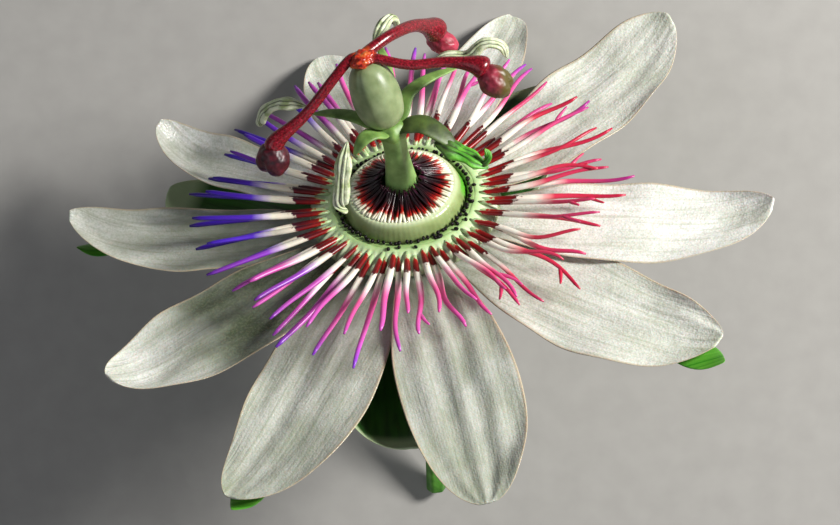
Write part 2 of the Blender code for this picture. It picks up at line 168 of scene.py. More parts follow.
# %% Lay the floor and light it
def lamp(name, place, target, size, watts, colour="#ffffff"):
    """A square soft lamp that faces its target."""
    data = bpy.data.lights.new(name, "AREA")
    data.size, data.energy, data.color = size, watts, srgb(colour)[:3]
    lit = bpy.data.objects.new(name, data)
    lit.location = target + Vector(place)
    lit.rotation_euler = (-Vector(place)).to_track_quat("-Z", "Y").to_euler()
    bpy.context.scene.collection.objects.link(lit)


bpy.ops.mesh.primitive_plane_add(size=3.0, location=(0, 0, 0))
floor = bpy.context.object
floor.name = "floor"
floor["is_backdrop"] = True
paint, tree, shader = new_material("matt_studio_board", roughness=0.85, specular_ior_level=0.2)
grain = add(tree, "TexNoise", {"Scale": 0.9 / MM, "Detail": 2.0})
tone = add(tree, "ValToRGB", {"Fac": grain}, stops=[(0.3, "#9c9a97"), (0.7, "#a19f9c")])
coat(shader, tone)
floor.data.materials.append(paint)

lamp("key", (0.30, 0.13, 0.22), centre, 0.10, 2.9, "#fffdf8")
lamp("fill_left", (-0.45, -0.10, 0.45), centre, 0.5, 0.70, "#f2f6ff")
lamp("fill_front", (0.10, -0.50, 0.40), centre, 0.5, 0.50)
world = bpy.data.worlds.new("studio")
world.use_nodes = True
world.node_tree.nodes["Background"].inputs["Color"].default_value = srgb("#c8ccd2")
world.node_tree.nodes["Background"].inputs["Strength"].default_value = 0.14
bpy.context.scene.view_settings.view_transform = "Standard"
bpy.context.scene.world = world

# %% [markdown]
# ## Tools for the bench
# Most pieces of a flower are one of three shapes: something turned about the axis, such as the cup; a stalk
# that bends, such as a filament; or a thin blade, such as a tepal. Each has its own starting piece, and
# what they share is here: picking corners by their place, reading and moving them all at once, keeping a
# number on each for the colours, and laying a finished piece down on the frame.

# %% Helpers to select
def only(piece):
    """Deselect everything, then select this piece and make it active."""
    bpy.ops.object.select_all(action="DESELECT")
    piece.select_set(True)
    bpy.context.view_layer.objects.active = piece


def pick(piece, test):
    """In edit mode, select the corners whose place passes the test."""
    shape = bmesh.from_edit_mesh(piece.data)
    for corner in shape.verts:
        corner.select = test(corner.co)
    shape.select_flush(True)
    shape.select_flush(False)
    bmesh.update_edit_mesh(piece.data)


print("selecting is ready")

# %% [markdown]
# Mesh code works on all corners at once, as one table with a row for each. Numbers kept on the corners, the
# attributes, ride along with them, and the finishes read them later.

# %% Helpers to read and move corners
def places(mesh):
    """The corners of a mesh as an array."""
    found = np.empty(len(mesh.vertices) * 3)
    mesh.vertices.foreach_get("co", found)
    return found.reshape(-1, 3)


def move_to(mesh, found):
    """Put the corners of a mesh where the array says."""
    mesh.vertices.foreach_set("co", np.asarray(found, np.float32).ravel())
    mesh.update()


def mark(mesh, name, values):
    """Keep one number for each corner, for a material to read."""
    layer = mesh.attributes.get(name) or mesh.attributes.new(name, "FLOAT", "POINT")
    layer.data.foreach_set("value", np.asarray(values, np.float32).ravel())


def read(mesh, name):
    """The numbers that mark kept, as an array."""
    layer = mesh.attributes[name].data
    values = np.empty(len(layer))
    layer.foreach_get("value", values)
    return values


print("corners can be read and moved")

# %% [markdown]
# A modifier is applied as soon as it is set, so the mesh is final. Then the piece is laid down with the matrix
# of the flower and joined to its body, and its triangles are counted.

# %% Helpers to finish a piece and lay it down
def modify(piece, kind, **settings):
    """Add a modifier with these settings and apply it."""
    only(piece)
    modifier = piece.modifiers.new(kind.title(), kind)
    for name, value in settings.items():
        setattr(modifier, name, value)
    bpy.ops.object.modifier_apply(modifier=modifier.name)


def smooth_over(piece, levels=1):
    """Round a piece with Catmull-Clark subdivision."""
    modify(piece, "SUBSURF", levels=levels, render_levels=levels)


def lay(piece, slot, *nodes):
    """Take a finished piece from the upright flower to where it lies, and tie it to the frame."""
    piece.data.transform(LAY_DOWN)
    piece.data.update()
    only(piece)
    bpy.ops.object.shade_smooth()
    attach(piece, "root")
    if nodes:
        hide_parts(*nodes)
    faces = sum(len(p.vertices) - 2 for p in piece.data.polygons)
    print(f"{piece.name}: {faces} triangles")


print("laying down is ready")

# %% [markdown]
# ## Tepals: one flat leaf first
# Sepals and petals of this flower look almost the same, so botanists call them all tepals. Each is a long
# blade with a blunt, boat-shaped tip. One flat leaf is modelled from a grid: rows of corners are slid
# towards the tip, where the outline turns fast, and scaled to the outline. A subdivided plane could be
# sculpted for each tepal, but one clean leaf keeps the rows along the veins on all of them.

# %% Model one flat leaf
LEAF_ROWS, LEAF_COLUMNS = 30, 12
WIDEST_AT, ROOT_SHARE = 0.58, 0.40
OUTLINE_END, BLUNTNESS = 1.004, 2.4


def leaf_half_width(share):
    """Half the leaf's width at a share of its length, where 1 is the widest."""
    if share < WIDEST_AT:
        return ROOT_SHARE + (1 - ROOT_SHARE) * math.sin(math.pi / 2 * share / WIDEST_AT)
    return math.sqrt(1 - ((share - WIDEST_AT) / (OUTLINE_END - WIDEST_AT)) ** BLUNTNESS)


bpy.ops.object.select_all(action="DESELECT")
bpy.ops.mesh.primitive_grid_add(x_subdivisions=LEAF_ROWS, y_subdivisions=LEAF_COLUMNS, size=1,
                                location=(0.5, 0, 0))
leaf = bpy.context.object
leaf.name = "flat_leaf"
bpy.ops.object.transform_apply(location=True, rotation=False, scale=False)
mark(leaf.data, "across", 2 * places(leaf.data)[:, 1])
bpy.ops.object.mode_set(mode="EDIT")
for row in range(LEAF_ROWS, -1, -1):
    share = 1 - (1 - row / LEAF_ROWS) ** 1.4
    pick(leaf, lambda co: abs(co.x - row / LEAF_ROWS) < 0.2 / LEAF_ROWS)
    bpy.ops.transform.resize(value=(1, 2 * leaf_half_width(share), 1), center_override=(0, 0, 0))
    bpy.ops.transform.translate(value=(share - row / LEAF_ROWS, 0, 0))
bpy.ops.object.mode_set(mode="OBJECT")
mark(leaf.data, "along", places(leaf.data)[:, 0])
print("flat leaf:", len(leaf.data.polygons), "faces, tip half width", round(leaf_half_width(1), 2))

# %% [markdown]
# ## Tepal skin
# The white skin is made of tiny domed cells full of air, which scatter light like frost. That gives a white
# with a satin sparkle and no mirror gloss. Under it run the veins, faintly green. The material follows the
# leaf: two attributes in millimetres give a flat map of each tepal, so streaks run along it and stay the same
# width on all ten. The domed cells are 0.03 mm on the plant, too fine to see, so they are drawn at 0.25 mm.

# %% Map a leaf in millimetres
CELL_MM, VEIN_MM, FROST_MM = 0.25, 0.55, 0.3


def leaf_map(tree, across_scale, along_scale):
    """A flat map of the leaf, from its attributes in mm."""
    across = add(tree, "Attribute", attribute_name="across_mm")
    along = add(tree, "Attribute", attribute_name="along_mm")
    seed = add(tree, "Attribute", attribute_name="seed")
    wide = add(tree, "Math", {0: across, 1: across_scale}, operation="MULTIPLY")
    far = add(tree, "Math", {0: along, 1: along_scale}, operation="MULTIPLY")
    return add(tree, "CombineXYZ", {"X": wide, "Y": far, "Z": seed})


print("one vein to", VEIN_MM, "mm, one cell to", CELL_MM, "mm")

# %% [markdown]
# A silky white with a broad soft shine: thin flesh that lets a little light through, a trace of sheen, and
# domed cells, folds and veins raised as bumps. Green shows where the flesh is thick: at the root, along the
# middle and at the tip, and each tepal's own amount of green is partly painted shade. Painted shade also lies
# in soft clouds of dark grey-green over the inner part of some tepals. The very edge has dried to pale brown.
# The frost is drawn at 0.3 mm, ten times as coarse as it is, so that it shows.

# %% The white skin
def tepal_skin(name, white, shaded, vein):
    """White satin skin with faint veins, green towards the middle and the tip, painted shade over the inner
    part, and a thin dry margin.
    """
    material, tree, shader = new_material(name, roughness=0.27, sheen_weight=0.10, sheen_roughness=0.4,
                                          subsurface_weight=0.10, subsurface_scale=0.6 * MM)
    along = add(tree, "Attribute", attribute_name="along")
    across = add(tree, "Attribute", attribute_name="across")
    green = add(tree, "Attribute", attribute_name="green")
    edge = add(tree, "Math", {0: across}, operation="ABSOLUTE")
    veins = add(tree, "TexNoise", {"Vector": leaf_map(tree, 1 / VEIN_MM, 0.09), "Scale": 1.0, "Detail": 3.0,
                                   "Roughness": 0.55})
    clouds = add(tree, "TexNoise", {"Vector": leaf_map(tree, 0.16, 0.11), "Scale": 1.0, "Detail": 4.0,
                                    "Roughness": 0.6})
    streak = add(tree, "ValToRGB", {"Fac": veins}, stops=[(0.50, 0.0), (0.66, 1.0)])
    patch = add(tree, "ValToRGB", {"Fac": clouds}, stops=[(0.38, 0.0), (0.72, 1.0)])
    ends = add(tree, "ValToRGB", {"Fac": along}, stops=[(0.0, 1.0), (0.30, 0.45), (0.80, 0.2), (0.97, 0.85)])
    # the tepal's own green at the root and the tip, and each tepal's amount of green, which is partly painted
    # shade
    green_and_painted_shade = add(tree, "Math", {0: ends, 1: green}, operation="MAXIMUM")
    amount = add(tree, "Math", {0: patch, 1: green_and_painted_shade}, operation="MULTIPLY")
    skin = add(tree, "Mix", {0: amount, 6: white, 7: shaded}, data_type="RGBA")
    lined = add(tree, "Math", {0: streak, 1: 0.34}, operation="MULTIPLY")
    skin = add(tree, "Mix", {0: lined, 6: skin, 7: vein}, data_type="RGBA")
    # painted shade: a dark grey-green laid in soft clouds over the inner part of each tepal, by its own amount
    painted_shade = add(tree, "Attribute", attribute_name="painted_shade")
    cloudy = add(tree, "MapRange", {"Value": clouds, "To Min": 0.55, "To Max": 1.35})
    painted_shade = add(tree, "Math", {0: painted_shade, 1: cloudy}, operation="MULTIPLY", use_clamp=True)
    skin = add(tree, "Mix", {0: painted_shade, 6: skin, 7: "#515b42"}, data_type="RGBA")
    place = add(tree, "TexCoord")
    frost = add(tree, "TexNoise", {"Vector": place, "Scale": 1 / (FROST_MM * MM), "Detail": 1.0})
    frost = add(tree, "ValToRGB", {"Fac": frost}, stops=[(0.36, 0.26), (0.56, 0.0)])
    skin = add(tree, "Mix", {0: frost, 6: skin, 7: shaded}, data_type="RGBA")
    rim = add(tree, "ValToRGB", {"Fac": edge}, stops=[(0.95, 0.0), (0.995, 0.75)])
    skin = add(tree, "Mix", {0: rim, 6: skin, 7: "#b7a78c"}, data_type="RGBA")
    cells = add(tree, "TexVoronoi", {"Vector": place, "Scale": 1 / (CELL_MM * MM)}, feature="SMOOTH_F1")
    folds = add(tree, "TexNoise", {"Vector": place, "Scale": 0.7 / MM, "Detail": 3.0})
    bumps = add(tree, "Bump", {"Height": veins, "Strength": 0.7, "Distance": 0.14 * MM})
    bumps = add(tree, "Bump", {"Height": folds, "Strength": 0.7, "Distance": 0.16 * MM, "Normal": bumps})
    bumps = add(tree, "Bump", {"Height": cells, "Strength": 0.6, "Distance": 0.07 * MM, "Normal": bumps})
    coat(shader, skin, bumps)
    return material


sepal_skin = tepal_skin("sepal_white_skin", "#e4e5df", "#8b9674", "#858f6c")
petal_skin = tepal_skin("petal_white_skin", "#ededea", "#949e7e", "#8c9472")
print("white skins:", sepal_skin.name, petal_skin.name)

# %% [markdown]
# ## Green skin of leaves
# The backs of the sepals, the awns and the bracts have the waxy skin of a leaf: paler veins, a low shine and
# sometimes a pale margin. It uses the same map as the white skin, so its veins also run along the leaf.

# %% The green skin
def leaf_green(name, dark, light, vein_mm, gloss, pale_edge=0.3):
    """Waxy green leaf skin with paler veins."""
    material, tree, shader = new_material(name, roughness=gloss, subsurface_weight=0.05,
                                          subsurface_scale=0.6 * MM)
    veins = add(tree, "TexNoise", {"Vector": leaf_map(tree, 1 / vein_mm, 0.10), "Scale": 1.0, "Detail": 3.0})
    tone = add(tree, "ValToRGB", {"Fac": veins}, stops=[(0.35, dark), (0.68, light)])
    across = add(tree, "Attribute", attribute_name="across")
    along = add(tree, "Attribute", attribute_name="along")
    edge = add(tree, "Math", {0: across}, operation="ABSOLUTE")
    edge = add(tree, "Math", {0: edge, 1: along}, operation="MAXIMUM")
    margin = add(tree, "ValToRGB", {"Fac": edge}, stops=[(0.87, 0.0), (0.93, pale_edge)])
    tone = add(tree, "Mix", {0: margin, 6: tone, 7: "#b3c49c"}, data_type="RGBA")
    fine = add(tree, "TexNoise", {"Vector": add(tree, "TexCoord"), "Scale": 1.5 / MM})
    bumps = add(tree, "Bump", {"Height": veins, "Strength": 0.5, "Distance": 0.15 * MM})
    bumps = add(tree, "Bump", {"Height": fine, "Strength": 0.3, "Distance": 0.05 * MM, "Normal": bumps})
    coat(shader, tone, bumps)
    return material


sepal_back = leaf_green("sepal_green_back", "#4f7a2c", "#86a85a", 0.8, 0.42)
print("green skin:", sepal_back.name)

# %% [markdown]
# ## Tepals: ten copies, each bent to its own shape
# Each copy is bent to its own azimuth, reach, cup and hook, with shallow ridges along the veins and a
# ripple at the edge. The wall is added afterwards by Solidify, which thins towards the margins. It gives the
# back of a sepal its own green finish. Subdivision then rounds the edge.

# %% Sizes and bends of the tepals
TEPAL_ROOT, SEPAL_BASE, PETAL_BASE = 9.1, -4.35, -3.2
FLESH = 0.45
# azimuth, reach, width, tip height, sag, hook, cup, twist, taper, skew of the tip, ridge depth, edge ripple,
# green (partly painted shade), painted shade towards the root and how far out that shade ends
TEPALS = {
    "sepal_1": (101, 39.5, 11.5, -9.0, -0.5, 0.0, 1.2, 0.0, 0.20, 0.0, 0.12, 0.3, 0.7, 0.35, 0.95),
    "sepal_2": (32, 46.0, 14.4, -2.2, 1.2, 1.6, 1.6, 0.8, 0.16, 0.0, 0.20, 0.8, 0.45, 0.15, 0.75),
    "sepal_3": (-44, 46.8, 16.0, -4.4, 0.3, 0.0, 1.2, 0.5, 0.24, 2.2, 0.22, 0.4, 0.3, 0.14, 1.0),
    "sepal_4": (-121, 48.2, 16.2, -7.4, -0.4, 0.0, 1.4, 0.0, 0.24, -2.6, 0.24, 0.4, 0.45, 0.42, 1.25),
    "sepal_5": (172.5, 44.0, 12.0, -3.4, 0.9, 0.4, 2.2, -0.4, 0.30, -3.0, 0.22, 0.4, 0.6, 0.60, 0.90),
    "petal_1": (64, 44.0, 10.5, -8.6, -0.4, 0.0, 1.1, 0.0, 0.20, 0.0, 0.12, 0.3, 0.6, 0.3, 0.9),
    "petal_2": (-15, 47.0, 14.8, -5.2, 0.2, 1.6, 1.3, 0.0, 0.24, 2.4, 0.22, 0.5, 0.15, 0.04, 0.8),
    "petal_3": (-85, 46.6, 15.6, -9.2, -0.8, 0.0, 1.4, 0.0, 0.15, -0.6, 0.58, 0.4, 0.5, 0.55, 1.3),
    "petal_4": (-153, 44.8, 15.0, -5.2, 0.4, 1.2, 1.7, 0.4, 0.16, -0.4, 0.22, 0.4, 0.5, 0.95, 0.85),
    "petal_5": (144.5, 38.2, 8.9, -5.4, 0.2, 1.9, 2.8, 0.0, 0.10, -1.0, 0.12, 0.2, 0.8, 0.15, 0.7),
}
print("tepals to bend:", len(TEPALS))

# %% [markdown]
# One function says where a point of the flat leaf ends up. It rises or sags along its length, cups across,
# twists, lifts into a prow near the tip and hooks at the end. The awns use it too, to follow their sepals.

# %% Where each corner of a bent leaf goes
PROW_FROM, HOOK_FROM = 0.8, 0.75

def leaf_place(root, base, shape, s, t, width_share):
    """Where the bent leaf is, in mm: along its length by s, across it by t."""
    azimuth, reach, width, tip, sag, hook, cup, twist, taper, skew = shape[:10]
    radius = root + (reach - root) * s
    prow = np.maximum(0, (s - PROW_FROM) / (1 - PROW_FROM)) ** 2
    height = base + (tip - base) * s**1.5 - sag * np.sin(np.pi * s)
    height = height + hook * np.maximum(0, (s - HOOK_FROM) / (1 - HOOK_FROM)) ** 2
    height = height + cup * s**1.5 * (t**2 + (1 - t**2) * prow) + twist * s**2 * t
    side = width / 2 * width_share * (1 - taper * s**3) * (1 - 0.11 * skew * t * s**2) + skew * s**4
    out = math.radians(azimuth)
    x, y = np.cos(out) * radius - np.sin(out) * side, np.sin(out) * radius + np.cos(out) * side
    return np.stack([x, y, height], 1)


tip = leaf_place(TEPAL_ROOT, SEPAL_BASE, TEPALS["sepal_1"], np.ones(1), np.zeros(1), np.zeros(1))[0]
print("tip of sepal_1 in mm:", [round(float(c), 1) for c in tip])

# %% [markdown]
# The flat leaf is copied and every corner is moved at once. Ridges follow the veins and the edge ripples a
# little. A bend modifier knows only one angle, and a tepal has five kinds of bend, so mesh code does it.

# %% Bend one leaf
def bent_leaf(name, root, base, shape, ridge, ripple, flesh, seed, skins, curl=0.0):
    """A copy of the flat leaf, bent, ridged, given its wall and rounded."""
    mesh = leaf.data.copy()
    mesh.name = name
    piece = bpy.data.objects.new(name, mesh)
    bpy.context.scene.collection.objects.link(piece)
    co = places(mesh)
    s = co[:, 0]
    t = read(mesh, "across")
    found = leaf_place(root, base, shape, s, t, co[:, 1])
    swell = np.array([noise.noise(Vector((5 * a, 2.2 * b, seed))) for a, b in zip(s, t)])
    fade = np.sqrt(np.clip(np.sin(np.pi * np.clip(s, 0, 1)), 0, 1))
    veins = np.cos(4 * np.pi * t + 1.5 * swell) * (1 - 0.6 * t**2) + 0.35 * np.cos(11 * np.pi * t + 3 * swell)
    found[:, 2] += ridge * fade * veins + 0.55 * swell * fade
    found[:, 2] += curl * np.maximum(s * t**6, s**9)
    found[:, 2] += ripple * t**2 * s * np.sin(19 * s + seed + 2 * np.sign(t))
    wave = ripple * 0.35 * t * s * np.sin(15 * s + 2 * seed + t)
    found[:, :2] += wave[:, None] * found[:, 1::-1] * [-0.02, 0.02]
    move_to(mesh, found * MM)
    length = shape[1] - root
    mark(mesh, "along_mm", s * length)
    mark(mesh, "across_mm", co[:, 1] * shape[2] / 2)
    mark(mesh, "seed", np.full(len(s), seed))
    for skin in skins:
        mesh.materials.append(skin)
    group = piece.vertex_groups.new(name="flesh")
    for corner, (a, b) in enumerate(zip(s, t)):
        group.add([corner], 1 - 0.6 * b**6 - 0.25 * a, "REPLACE")
    modify(piece, "SOLIDIFY", thickness=flesh * MM, offset=-1, vertex_group="flesh", material_offset=1)
    smooth_over(piece)
    return piece


print("wall of a tepal:", FLESH, "mm")

# %% [markdown]
# Each tepal gets its own row of sizes and its own seed, so that no two are the same. Only sepals are green
# behind. Petals are white on both sides.

# %% Bend the ten tepals
for seed, (name, shape) in enumerate(TEPALS.items()):
    sepal = "sepal" in name
    base, skins = (SEPAL_BASE, (sepal_skin, sepal_back)) if sepal else (PETAL_BASE, (petal_skin, petal_skin))
    tepal = bent_leaf(name, TEPAL_ROOT, base, shape, shape[10], shape[11], FLESH, seed + 1.0, skins)
    along = read(tepal.data, "along")
    # each tepal's amount of green, partly its own colour and partly painted shade
    mark(tepal.data, "green", np.full(len(along), shape[12]))
    # painted shade: full over the inner part of the tepal, fading out by the share in the last column
    mark(tepal.data, "painted_shade", shape[13] * np.clip((shape[14] - along) / 0.3, 0, 1))
    lay(tepal, "sepal_white" if sepal else "petal_white", name)

# %% [markdown]
# ## Rods
# A rod is modelled once for each kind of stalk: a cylinder of unit radius and length, cut into rings by
# subdividing its long edges, with each ring scaled to the stalk's profile. Each corner keeps two numbers,
# how far along it is and how far round. They follow the copies, so that colours can follow the stalk.

# %% The straight rod
def straight_rod(name, sides, profile):
    """A rod of unit length on Z whose rings have the profile's half widths, from end to end."""
    bpy.ops.object.select_all(action="DESELECT")
    bpy.ops.mesh.primitive_cylinder_add(vertices=sides, radius=1, depth=1, location=(0, 0, 0.5))
    rod = bpy.context.object
    rod.name = rod.data.name = name
    bpy.ops.object.transform_apply(location=True, rotation=False, scale=False)
    bpy.ops.object.mode_set(mode="EDIT")
    shape = bmesh.from_edit_mesh(rod.data)
    bpy.ops.mesh.select_mode(type="EDGE")
    for edge in shape.edges:
        edge.select_set(abs(edge.verts[0].co.z - edge.verts[1].co.z) > 0.5)
    bmesh.update_edit_mesh(rod.data)
    rings = len(profile) - 1
    bpy.ops.mesh.subdivide(number_cuts=rings - 1)
    bpy.ops.mesh.select_mode(type="VERT")
    for ring, half in enumerate(profile):
        height = ring / rings
        pick(rod, lambda co: abs(co.z - height) < 0.2 / rings)
        bpy.ops.transform.resize(value=(half, half, 1), center_override=(0, 0, height))
    bpy.ops.object.mode_set(mode="OBJECT")
    co = places(rod.data)
    mark(rod.data, "along", co[:, 2])
    mark(rod.data, "round", np.arctan2(co[:, 1], co[:, 0]) / math.tau % 1.0)
    return rod


print("rods can be modelled")

# %% [markdown]
# A route is a few points in mm, joined by a smooth line. Each ring of the rod is carried to its place along
# that line and turned square to it, with its own width and thickness.

# %% Bend a rod onto a route
def smooth_route(points, steps):
    """Points on a smooth curve through a few given ones (Catmull-Rom), as an array in mm."""
    p = np.array([2 * np.array(points[0]) - points[1], *points, 2 * np.array(points[-1]) - points[-2]], float)
    place = np.linspace(0, len(points) - 1, steps + 1)
    span = np.minimum(place.astype(int), len(points) - 2)
    t = (place - span)[:, None]
    a, b, c, d = p[span], p[span + 1], p[span + 2], p[span + 3]
    return 0.5 * (2 * b + (c - a) * t + (2 * a - 5 * b + 4 * c - d) * t**2 + (3 * b - a - 3 * c + d) * t**3)


def bend(co, route, wide, thick, upright=(0, 0, 1)):
    """Carry a straight rod's corners onto a route, both in mm; wide lies across the upright direction."""
    along = np.gradient(route, axis=0)
    along /= np.linalg.norm(along, axis=1, keepdims=True)
    across = np.cross(along, upright)
    across /= np.linalg.norm(across, axis=1, keepdims=True)
    normal = np.cross(across, along)
    place = np.clip(co[:, 2], 0, 1) * (len(route) - 1)
    at = np.arange(len(route))
    pull = [np.stack([np.interp(place, at, v[:, i]) for i in range(3)], 1) for v in (route, across, normal)]
    return pull[0] + pull[1] * co[:, :1] * wide + pull[2] * co[:, 1:2] * thick


print("rods can be bent")

# %% [markdown]
# Many bent copies of one rod become one mesh, which is quick even for a whole rank of the corona. Numbers for
# the colours are joined in the same order.

# %% Join copies of a rod
def many(name, rod, bent_copies, marks=None):
    """Join bent copies of one rod into one piece. Each copy is an array of corners in mm."""
    faces = [list(p.vertices) for p in rod.data.polygons]
    count = len(rod.data.vertices)
    corners = np.concatenate(bent_copies) * MM
    joined = [[i + k * count for i in face] for k in range(len(bent_copies)) for face in faces]
    mesh = bpy.data.meshes.new(name)
    mesh.from_pydata(corners.tolist(), [], joined)
    for layer in ("along", "round"):
        mark(mesh, layer, np.tile(read(rod.data, layer), len(bent_copies)))
    for layer, values in (marks or {}).items():
        mark(mesh, layer, np.concatenate(values))
    piece = bpy.data.objects.new(name, mesh)
    bpy.context.scene.collection.objects.link(piece)
    return piece


def put_away(helper):
    """Remove a template once its copies are made."""
    bpy.data.objects.remove(helper, do_unlink=True)


def round_to(radius, azimuth_deg, height):
    """A point in mm at this radius, azimuth and height."""
    angle = math.radians(azimuth_deg)
    return (radius * math.cos(angle), radius * math.sin(angle), height)


print("rods can be joined")

# %% [markdown]
# ## Sepal awns
# Just behind its tip, the back of each sepal draws out into a small green horn, the awn. It is a flattened
# rod, bent outwards, which follows the bend of its own sepal a little below it.

# %% Bend the awns
AWN_THICK, AWN_FROM = 0.3, 0.80
# where the awn ends along the sepal, how far it strays aside, its half width
AWNS = {"1": (0.98, 0.0, 0.8), "2": (0.97, -1.0, 0.8), "3": (1.06, -3.0, 2.6), "4": (1.02, 0.5, 2.3),
        "5": (0.98, 3.6, 1.5)}
awn_rod = straight_rod("awn_rod", 12, (0.35, 0.7, 0.92, 1.0, 1.0, 0.94, 0.82, 0.62, 0.36, 0.06))
awn_green = leaf_green("awn_green", "#357f1c", "#67ab3a", 0.6, 0.35, 0.0)
for number, (end, stray, wide) in AWNS.items():
    shape = TEPALS["sepal_" + number]
    lines = []
    for share, drop in ((0, -0.6), (0.4, -1.2), (0.75, -1.7), (1, -1.7)):
        s = np.array([AWN_FROM + (end - AWN_FROM) * share])
        on_leaf = leaf_place(TEPAL_ROOT, SEPAL_BASE, shape, s, np.zeros(1), np.zeros(1))[0]
        lines.append(on_leaf + np.array((0, 0, drop)) + np.array(round_to(stray * share, shape[0] + 90, 0)))
    bent = bend(places(awn_rod.data), smooth_route(lines, 9), wide, AWN_THICK)
    awn = many("awn_" + number, awn_rod, [bent])
    mark(awn.data, "along_mm", np.ones(len(awn.data.vertices)))
    mark(awn.data, "across_mm", places(awn.data)[:, 1] / MM)
    smooth_over(awn)
    awn.data.materials.append(awn_green)
    lay(awn, "sepal_white")
put_away(awn_rod)

# %% [markdown]
# ## Bracts
# Under the tepals sit three leafy bracts, the last leaves of the stem. They are the same flat leaf, wider and
# thinner, in a dark waxy green with a pale margin. The front one curls up at its rim.

# %% Bend the bracts
BRACT_ROOT, BRACT_BASE, BRACT_WALL = 2.6, -11.4, 0.4
BRACTS = {
    "bract_1": (-99, 36.5, 18.0, -10.4, -0.6, 0.6, 1.5, 0.0, 0.2, 1.5),
    "bract_2": (153, 34.5, 16.0, -8.4, 0.4, 0.0, 1.6, 0.0, 0.2, 0.0),
    "bract_3": (45, 32.0, 15.0, -7.8, 0.4, 0.0, 1.6, 0.0, 0.2, 0.0),
}
bract_green = leaf_green("bract_green", "#163f0e", "#31691f", 0.9, 0.38, 0.85)
for seed, (name, shape) in enumerate(BRACTS.items()):
    curl = 1.4 if name == "bract_1" else 0.4
    bract = bent_leaf(name, BRACT_ROOT, BRACT_BASE, shape, 0.12, 0.5, BRACT_WALL, seed + 20.0,
                      (bract_green, bract_green), curl)
    lay(bract, "bract_green", name)
put_away(leaf)

# %% [markdown]
# ## Corona: one filament
# The rays of the passion flower are its corona: two ranks of fleshy filaments, banded in dark red, white and
# a violet that turns to pink and crimson. A filament is thin at the root, widest in its white part and
# blunt at the tip, and a little flattened. One is modelled straight from a cylinder. Curve objects with a
# bevel could do it too, but a rod keeps one plain count of corners, so all copies can be joined and banded.

# %% Model one straight filament
FILAMENT_WIDE, FILAMENT_THICK = 0.50, 0.38
filament = straight_rod("filament", 8, (0.52, 0.66, 0.76, 0.83, 0.90, 0.96, 1.0, 1.0, 0.97, 0.92, 0.88, 0.85,
                                        0.83, 0.81, 0.80, 0.78, 0.76, 0.70, 0.38))
print("one filament:", len(filament.data.polygons), "faces")

# %% [markdown]
# ## Corona: two ranks of bent filaments
# On the left the filaments are straight and evenly combed. On the right they wave, lean on each other, and
# some end in a fork. Each copy gets its own route. Three numbers ride along with each corner for the colours:
# the stage of the bands (0 root, 1 end of red, 2 end of white, 3 tip), and the warmth of its tip colour.

# %% How the corona changes round the flower
FILAMENTS = 38
ROOT_RADIUS, LAST_TIP = 9.7, 29.0
# height at the root, usual reach, rise of the tips, half a step round, how much further out its bands start
RANKS = {"corona_upper": (-0.12, 27.2, 2.1, 0.0, 0.0), "corona_lower": (-0.40, 28.8, 0.0, 0.5, 0.9)}
# how far the filaments reach round the flower, as shares of the usual reach
REACH_ROUND = ((0, 1.0), (40, 0.97), (90, 0.97), (140, 0.95), (180, 1.0), (215, 0.98), (240, 1.06),
               (262, 0.92), (285, 0.80), (310, 0.92), (335, 1.0), (360, 1.0))
# where the red ends, where the white ends, in mm from the axis
BANDS_ROUND = ((0, 15.0, 18.2), (50, 15.0, 18.0), (120, 13.8, 17.0), (180, 14.7, 17.6), (230, 13.9, 16.6),
               (285, 13.1, 15.6), (330, 14.4, 17.6), (360, 15.0, 18.2))
# warmth of the tips: 0 violet, 0.5 pink, 1 crimson
WARMTH_ROUND = ((0, 0.95), (30, 0.88), (60, 0.62), (90, 0.42), (120, 0.22), (150, 0.05), (190, 0.02),
                (205, 0.25), (225, 0.42), (255, 0.55), (285, 0.68), (310, 0.88), (330, 0.97), (360, 0.95))
dice = random.Random(7)


def read_round(table, azimuth, column=1):
    """A value that changes round the flower, read from a table by azimuth."""
    return float(np.interp(azimuth % 360, [row[0] for row in table], [row[column] for row in table]))


print("warmth at the front:", read_round(WARMTH_ROUND, 270))

# %% [markdown]
# A filament leaves the rim level, then rises, sways aside and waves. Its bands end at a distance from the
# axis, not at a share of its own length, since the rings of colour line up round the flower.

# %% The route and the bands of one filament
def filament_route(azimuth, height, reach, rise, wave, sway, phase):
    """Middle line of one filament in mm, from its root to its tip."""
    s = np.linspace(0, 1, 19)
    radius = ROOT_RADIUS + (reach - ROOT_RADIUS) * s
    aside = sway * s**1.8 + wave * np.sin(phase + 7.5 * s) * s**1.3
    up = height + rise * s**1.4 + 0.8 * wave * np.cos(1.3 * phase + 6.5 * s) * s**1.5
    out = np.radians(azimuth)
    x, y = np.cos(out) * radius - np.sin(out) * aside, np.sin(out) * radius + np.cos(out) * aside
    return np.stack([x, y, up], 1)


def banded(route, azimuth, jitter, start):
    """The stage of the bands along a route: 0 at the root, 1 end of red, 2 end of white, 3 at the tip."""
    radius = np.hypot(route[:, 0], route[:, 1])
    root = ROOT_RADIUS + 0.5 * jitter + start
    red = read_round(BANDS_ROUND, azimuth, 1) + jitter + 0.7 * start
    white = read_round(BANDS_ROUND, azimuth, 2) + 1.6 * jitter
    return np.interp(radius, [root, red, white, LAST_TIP], [0, 1, 2, 3])


print("bands end at a radius of", LAST_TIP, "mm")

# %% [markdown]
# All slips come from one die with a fixed seed, so the corona is the same each time. Wildness grows towards
# the right, and with it the waves, the forks and how thin the ends are.

# %% Bend and join the corona
def turned_by(angle):
    """The matrix that turns rows of points by an angle in radians, from above."""
    cosine, sine = math.cos(angle), math.sin(angle)
    return np.array([[cosine, sine, 0], [-sine, cosine, 0], [0, 0, 1]])


